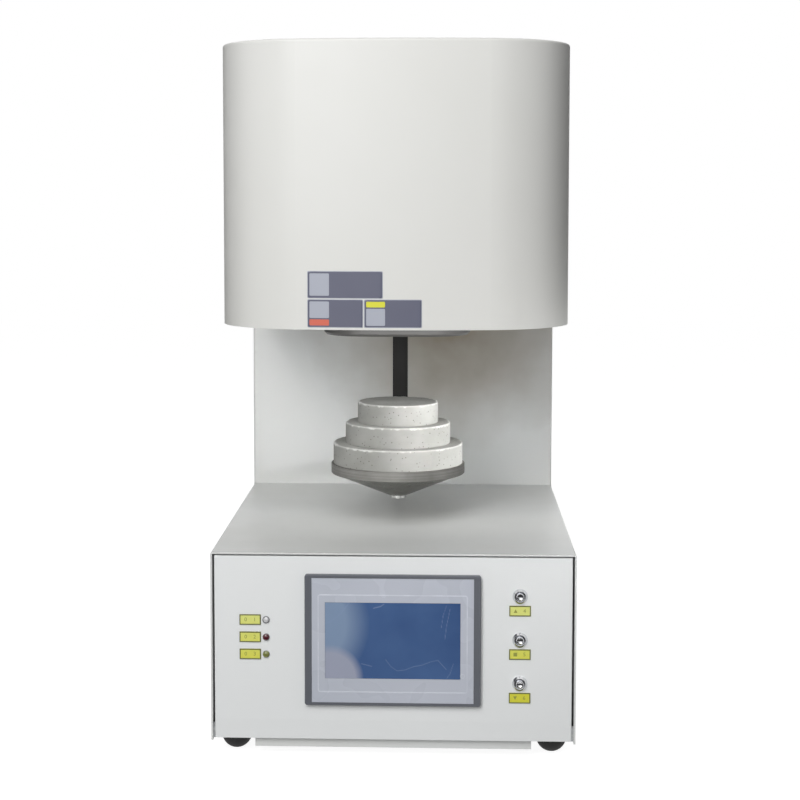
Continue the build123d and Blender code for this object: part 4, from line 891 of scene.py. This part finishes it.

# %% [markdown]
# The labels are yellow plates with a dark raised border. The words of the real ones are left off: a
# lamp's label has two plain figures, and a button's has a number and the way the tray goes. A
# figure is text made a thin solid, merged, and laid on the label. The arrows and the square are
# outlines given a thickness. The yellow is paler towards the top.


# %% Label plates, borders and numbers
def solid_text(body, size, thickness):
    """Plain figures as a merged thin solid, centred on the origin, facing up."""
    letters = bpy.data.curves.new("figures", "FONT")
    letters.body = body
    letters.size = size
    letters.extrude = thickness / 2
    letters.resolution_u = 3
    letters.align_x = "CENTER"
    letters.align_y = "CENTER"
    holder = bpy.data.objects.new("figures", letters)
    bpy.context.scene.collection.objects.link(holder)
    mesh = bpy.data.meshes.new_from_object(holder)
    merged = bmesh.new()
    merged.from_mesh(mesh)
    bmesh.ops.remove_doubles(merged, verts=merged.verts, dist=1e-6)
    points = np.array([vertex.co for vertex in merged.verts])
    faces = [[corner.index for corner in face.verts] for face in merged.faces]
    merged.free()
    bpy.data.objects.remove(holder)
    bpy.data.curves.remove(letters)
    bpy.data.meshes.remove(mesh)
    return points, faces


def slab(outline, thickness):
    """A flat outline, given as corners in turn, made a thin solid centred on its plane."""
    corners = np.array(outline)
    half = np.full((len(corners), 1), thickness / 2)
    return closed(np.array([np.hstack([corners, -half]), np.hstack([corners, half])]))


def laid(surface, origin, right, up):
    """A flat solid moved onto a face: its own x goes right, its y up and its z out."""
    points, faces = surface
    right, up = np.array(right), np.array(up)
    turned = points @ np.array([right, up, np.cross(right, up)])
    return turned + np.array(origin), faces


label_width = 24.8 * mm
label_height = 12.3 * mm
label_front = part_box("label_plates")[0].y
beside_lamp = (-18.5 * mm, 0)
under_button = (0, -17 * mm)
border_section = [(0, -0.4), (0, 0.22), (0.12, 0.34), (1.05, 0.34), (1.2, 0.2), (1.2, -0.1)]
figure_size = 6.2 * mm
figure_gap = 5.2 * mm
print_depth = 0.16 * mm
half = 2.1 * mm
button_signs = {
    "raise_button": [(-half, -half), (half, -half), (0, half)],
    "stop_button": [(-half, -half), (half, -half), (half, half), (-half, half)],
    "lower_button": [(half, half), (-half, half), (0, -half)],
}


def centre_of(node, shift):
    """Middle of a node's front view, moved by a shift to the right and up."""
    low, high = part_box(node)
    return (low.x + high.x) / 2 + shift[0], (low.z + high.z) / 2 + shift[1]


lamp_nodes = ("clear_lamp_lens", "red_lamp_lens", "amber_lamp_lens")
borders = []
figures = []
for number, node in enumerate((*lamp_nodes, *button_signs)):
    at = centre_of(node, beside_lamp if node in lamp_nodes else under_button)
    borders.append(
        frame_round(at, label_width, label_height, 0.3 * mm, label_front, border_section, 4)
    )
    marks = [(solid_text(str(number + 1), figure_size, print_depth), figure_gap)]
    if node in button_signs:
        marks.append((slab(button_signs[node], print_depth), -figure_gap))
    else:
        marks.append((solid_text("0", figure_size, print_depth), -figure_gap))
    for mark, shift in marks:
        origin = (at[0] + shift, label_front, at[1])
        figures.append(laid(mark, origin, (1, 0, 0), (0, 0, 1)))

label_yellow = Finish("label_yellow", Specular_IOR_Level=0.4)
label_height_at = label_yellow.node("SeparateXYZ", {0: label_yellow.place}).outputs["Z"]
# The yellow is paler towards the top.
paler_upward = label_yellow.span(label_height_at, 0.0, 1.0, 0.08, 0.18)
blotches = label_yellow.noise(120, 3)
yellow = label_yellow.ramp(paler_upward, (0.2, shade(226, 222, 66)), (0.9, shade(230, 234, 140)))
yellow = label_yellow.blend(label_yellow.span(blotches, 0.0, 0.3), yellow, shade(206, 208, 84))
dress(
    label_yellow.give(yellow, label_yellow.span(blotches, 0.34, 0.46), blotches, depth=2e-5),
    "label_plates",
)
border_olive = satin_paint("border_olive", shade(112, 114, 66), shade(92, 94, 56), 0.5, 1e-5)
print_olive = satin_paint("print_olive", shade(158, 162, 74), shade(140, 146, 64), 0.5, 1e-5)
piece("label_borders", borders, border_olive)
piece("label_figures", figures, print_olive)

# %% [markdown]
# The head carries a cluster of printed plates. They are left blank here: slate vinyl with
# pale edges, a few pale fields and two coloured ones. A plate is thin and follows the bow
# of the head's front, which is a long arc about an upright axis behind the furnace.

# %% Blank plates on the head
bow_radius = 900 * mm
bow_centre_y = 595 * mm


def bowed_plate(left, right, bottom, top, proud, corner=1.2):
    """A thin plate on the bow, from its edges in millimetres and how far it stands out.

    Rings of its outline run from its sunk edge, over a small round, in to its middle.
    Each point's depth is the bow's arc at its x, less how far the plate stands out.
    """
    sizes = (right - left) * mm, (top - bottom) * mm
    edge = evenly(rounded_outline(*sizes, corner * mm), 180)
    scale = np.concatenate([[1, 1], np.linspace(0.997, 0.02, 14)])[:, None, None]
    out = np.concatenate([[-0.4, proud - 0.06], np.full(14, proud)])[:, None] * mm
    flat = edge[None] * scale + np.array([left + right, bottom + top]) / 2 * mm
    x, z = flat[..., 0], flat[..., 1]
    y = bow_centre_y - np.sqrt(bow_radius**2 - x**2) - out
    return closed(np.stack([x, y, z], -1))


vinyl_slate = satin_paint("vinyl_slate", shade(106, 108, 127), shade(94, 96, 114), 0.4, 2e-5)
vinyl_pale = satin_paint("vinyl_pale", shade(186, 190, 200), shade(172, 176, 188), 0.4, 2e-5)
vinyl_salmon = satin_paint("vinyl_salmon", shade(224, 116, 92), shade(212, 104, 82), 0.4, 2e-5)
vinyl_yellow = satin_paint("vinyl_yellow", shade(232, 230, 72), shade(222, 220, 60), 0.4, 2e-5)
edge_proud, face_proud, field_proud = 0.14, 0.24, 0.32
edge_width = 0.7
plates = ((-98, -11.5, 534.9, 566.2), (-98, -34, 501.6, 534), (-33, 33, 501.6, 534))
faces = [
    (left + edge_width, right - edge_width, bottom + edge_width, top - edge_width)
    for left, right, bottom, top in plates
]
pale = ((-95.5, -73, 538, 563.5), (-95.5, -73, 512.5, 531.5), (-30.5, -9, 504, 523.5))
plate_kinds = (
    ("plate_edges", vinyl_pale, edge_proud, plates),
    ("plate_faces", vinyl_slate, face_proud, faces),
    ("pale_fields", vinyl_pale, field_proud, pale),
    ("salmon_field", vinyl_salmon, field_proud, ((-95.5, -73, 504, 511),)),
    ("yellow_field", vinyl_yellow, field_proud, ((-30.5, -9, 525, 531.5),)),
)
for name, vinyl, proud, plates in plate_kinds:
    piece(name, [bowed_plate(*plate, proud) for plate in plates], vinyl)

# %% [markdown]
# At the back, the inlet's three pins are brass under nickel, and the rocker has its plain
# line and ring pressed into it and filled with white. The pins get a thin metal sleeve
# over the inlet's own. The marks lie in the plane of the rocker's two faces, which lean by
# the rocker's tilt, so they are worked out in the rocker's own axes and turned with it.


# %% Inlet pins and rocker marks
def pin_sleeve(x, z, base, tip):
    """A flat pin: rings of its outline from its foot to its tip, smaller at the tip."""
    rings = []
    for y, inset in ((base, 0), (tip - 1.2 * mm, 0), (tip - 0.4 * mm, 0.25 * mm), (tip, 0.7 * mm)):
        flat = rounded_outline(pin_wide - 2 * inset, pin_high - 2 * inset, 0.25 * mm, 4)
        rings.append(np.stack([x - flat[:, 0], y + 0 * flat[:, 0], z + flat[:, 1]], -1))
    return closed(np.array(rings))


inlet_low, inlet_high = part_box("mains_inlet")
inlet_x = (inlet_low.x + inlet_high.x) / 2
inlet_z = (inlet_low.z + inlet_high.z) / 2
pin_wide = 2.1 * mm
pin_high = 8.1 * mm
pin_pitch = 10 * mm
pin_tip = inlet_high.y - 3.9 * mm
pin_base = pin_tip - 12 * mm
sleeves = [
    pin_sleeve(inlet_x + step * pin_pitch, inlet_z, pin_base, pin_tip) for step in (-1, 0, 1)
]
piece("inlet_pins", sleeves, screw_steel)

housing_low, housing_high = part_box("rocker_housing")
rocker_middle = (housing_low + housing_high) / 2
rocker_axis_y = housing_high.y - 5 * mm
rocker_tilt = radians(10)
rocker_fold = np.array([4.6, 0]) * mm
rocker_end = np.array([6.4, 11.2]) * mm
ring_radius = 2.1 * mm
ring_half_width = 0.35 * mm
ring_half_depth = 0.16 * mm
line_half_size = np.array([0.35, 2.4]) * mm
line_depth = 0.3 * mm
rocker_out = np.array([0, np.cos(rocker_tilt), np.sin(rocker_tilt)])
rocker_up = np.array([0, -np.sin(rocker_tilt), np.cos(rocker_tilt)])
axis = np.array([rocker_middle.x, rocker_axis_y, rocker_middle.z])
ring_turn = np.linspace(0, 2 * pi, 40, endpoint=False)
tube_turn = np.linspace(0, 2 * pi, 8, endpoint=False)
ring_reach = ring_radius + ring_half_width * np.cos(tube_turn)[:, None]
ring_rise = ring_half_depth * np.sin(tube_turn)[:, None] + 0 * ring_turn
ring = closed(
    np.stack([ring_reach * np.cos(ring_turn), ring_reach * np.sin(ring_turn), ring_rise], -1),
    loop=True,
)
line = slab(np.array([(-1, -1), (1, -1), (1, 1), (-1, 1)]) * line_half_size, line_depth)
rocker_marks = []
for mark, side in ((line, 1), (ring, -1)):
    end = rocker_end * (1, side)
    middle = (rocker_fold + end) / 2
    along = (end - rocker_fold) / np.linalg.norm(end - rocker_fold) * side
    origin = axis + middle[0] * rocker_out + middle[1] * rocker_up
    up = along[0] * rocker_out + along[1] * rocker_up
    rocker_marks.append(laid(mark, origin, (-1, 0, 0), up))
print_white = satin_paint("print_white", shade(220, 220, 218), shade(204, 204, 202), 0.5, 1e-5)
piece("rocker_marks", rocker_marks, print_white, "power_rocker")

# %% [markdown]
# The feet are moulded rubber, matt and almost black. The parts behind the covers get plain
# workshop finishes: a green circuit board, dark heating elements and a pale ceramic sheath.

# %% Rubber, board and ceramics
black_rubber = satin_paint("black_rubber", shade(24, 24, 25), shade(16, 16, 17), 0.7, 6e-5)
dress(black_rubber, "rubber_feet")

board_green = satin_paint("board_green", shade(40, 96, 58), shade(30, 78, 46), 0.35, 2e-5)
element_ceramic = satin_paint("element_ceramic", shade(74, 72, 78), shade(54, 52, 56), 0.6, 6e-5)
sheath_ceramic = satin_paint(
    "sheath_ceramic", shade(236, 226, 208), shade(224, 212, 190), 0.5, 4e-5
)
dress(board_green, "control_board")
dress(element_ceramic, "heating_elements")
dress(sheath_ceramic, "thermocouple")
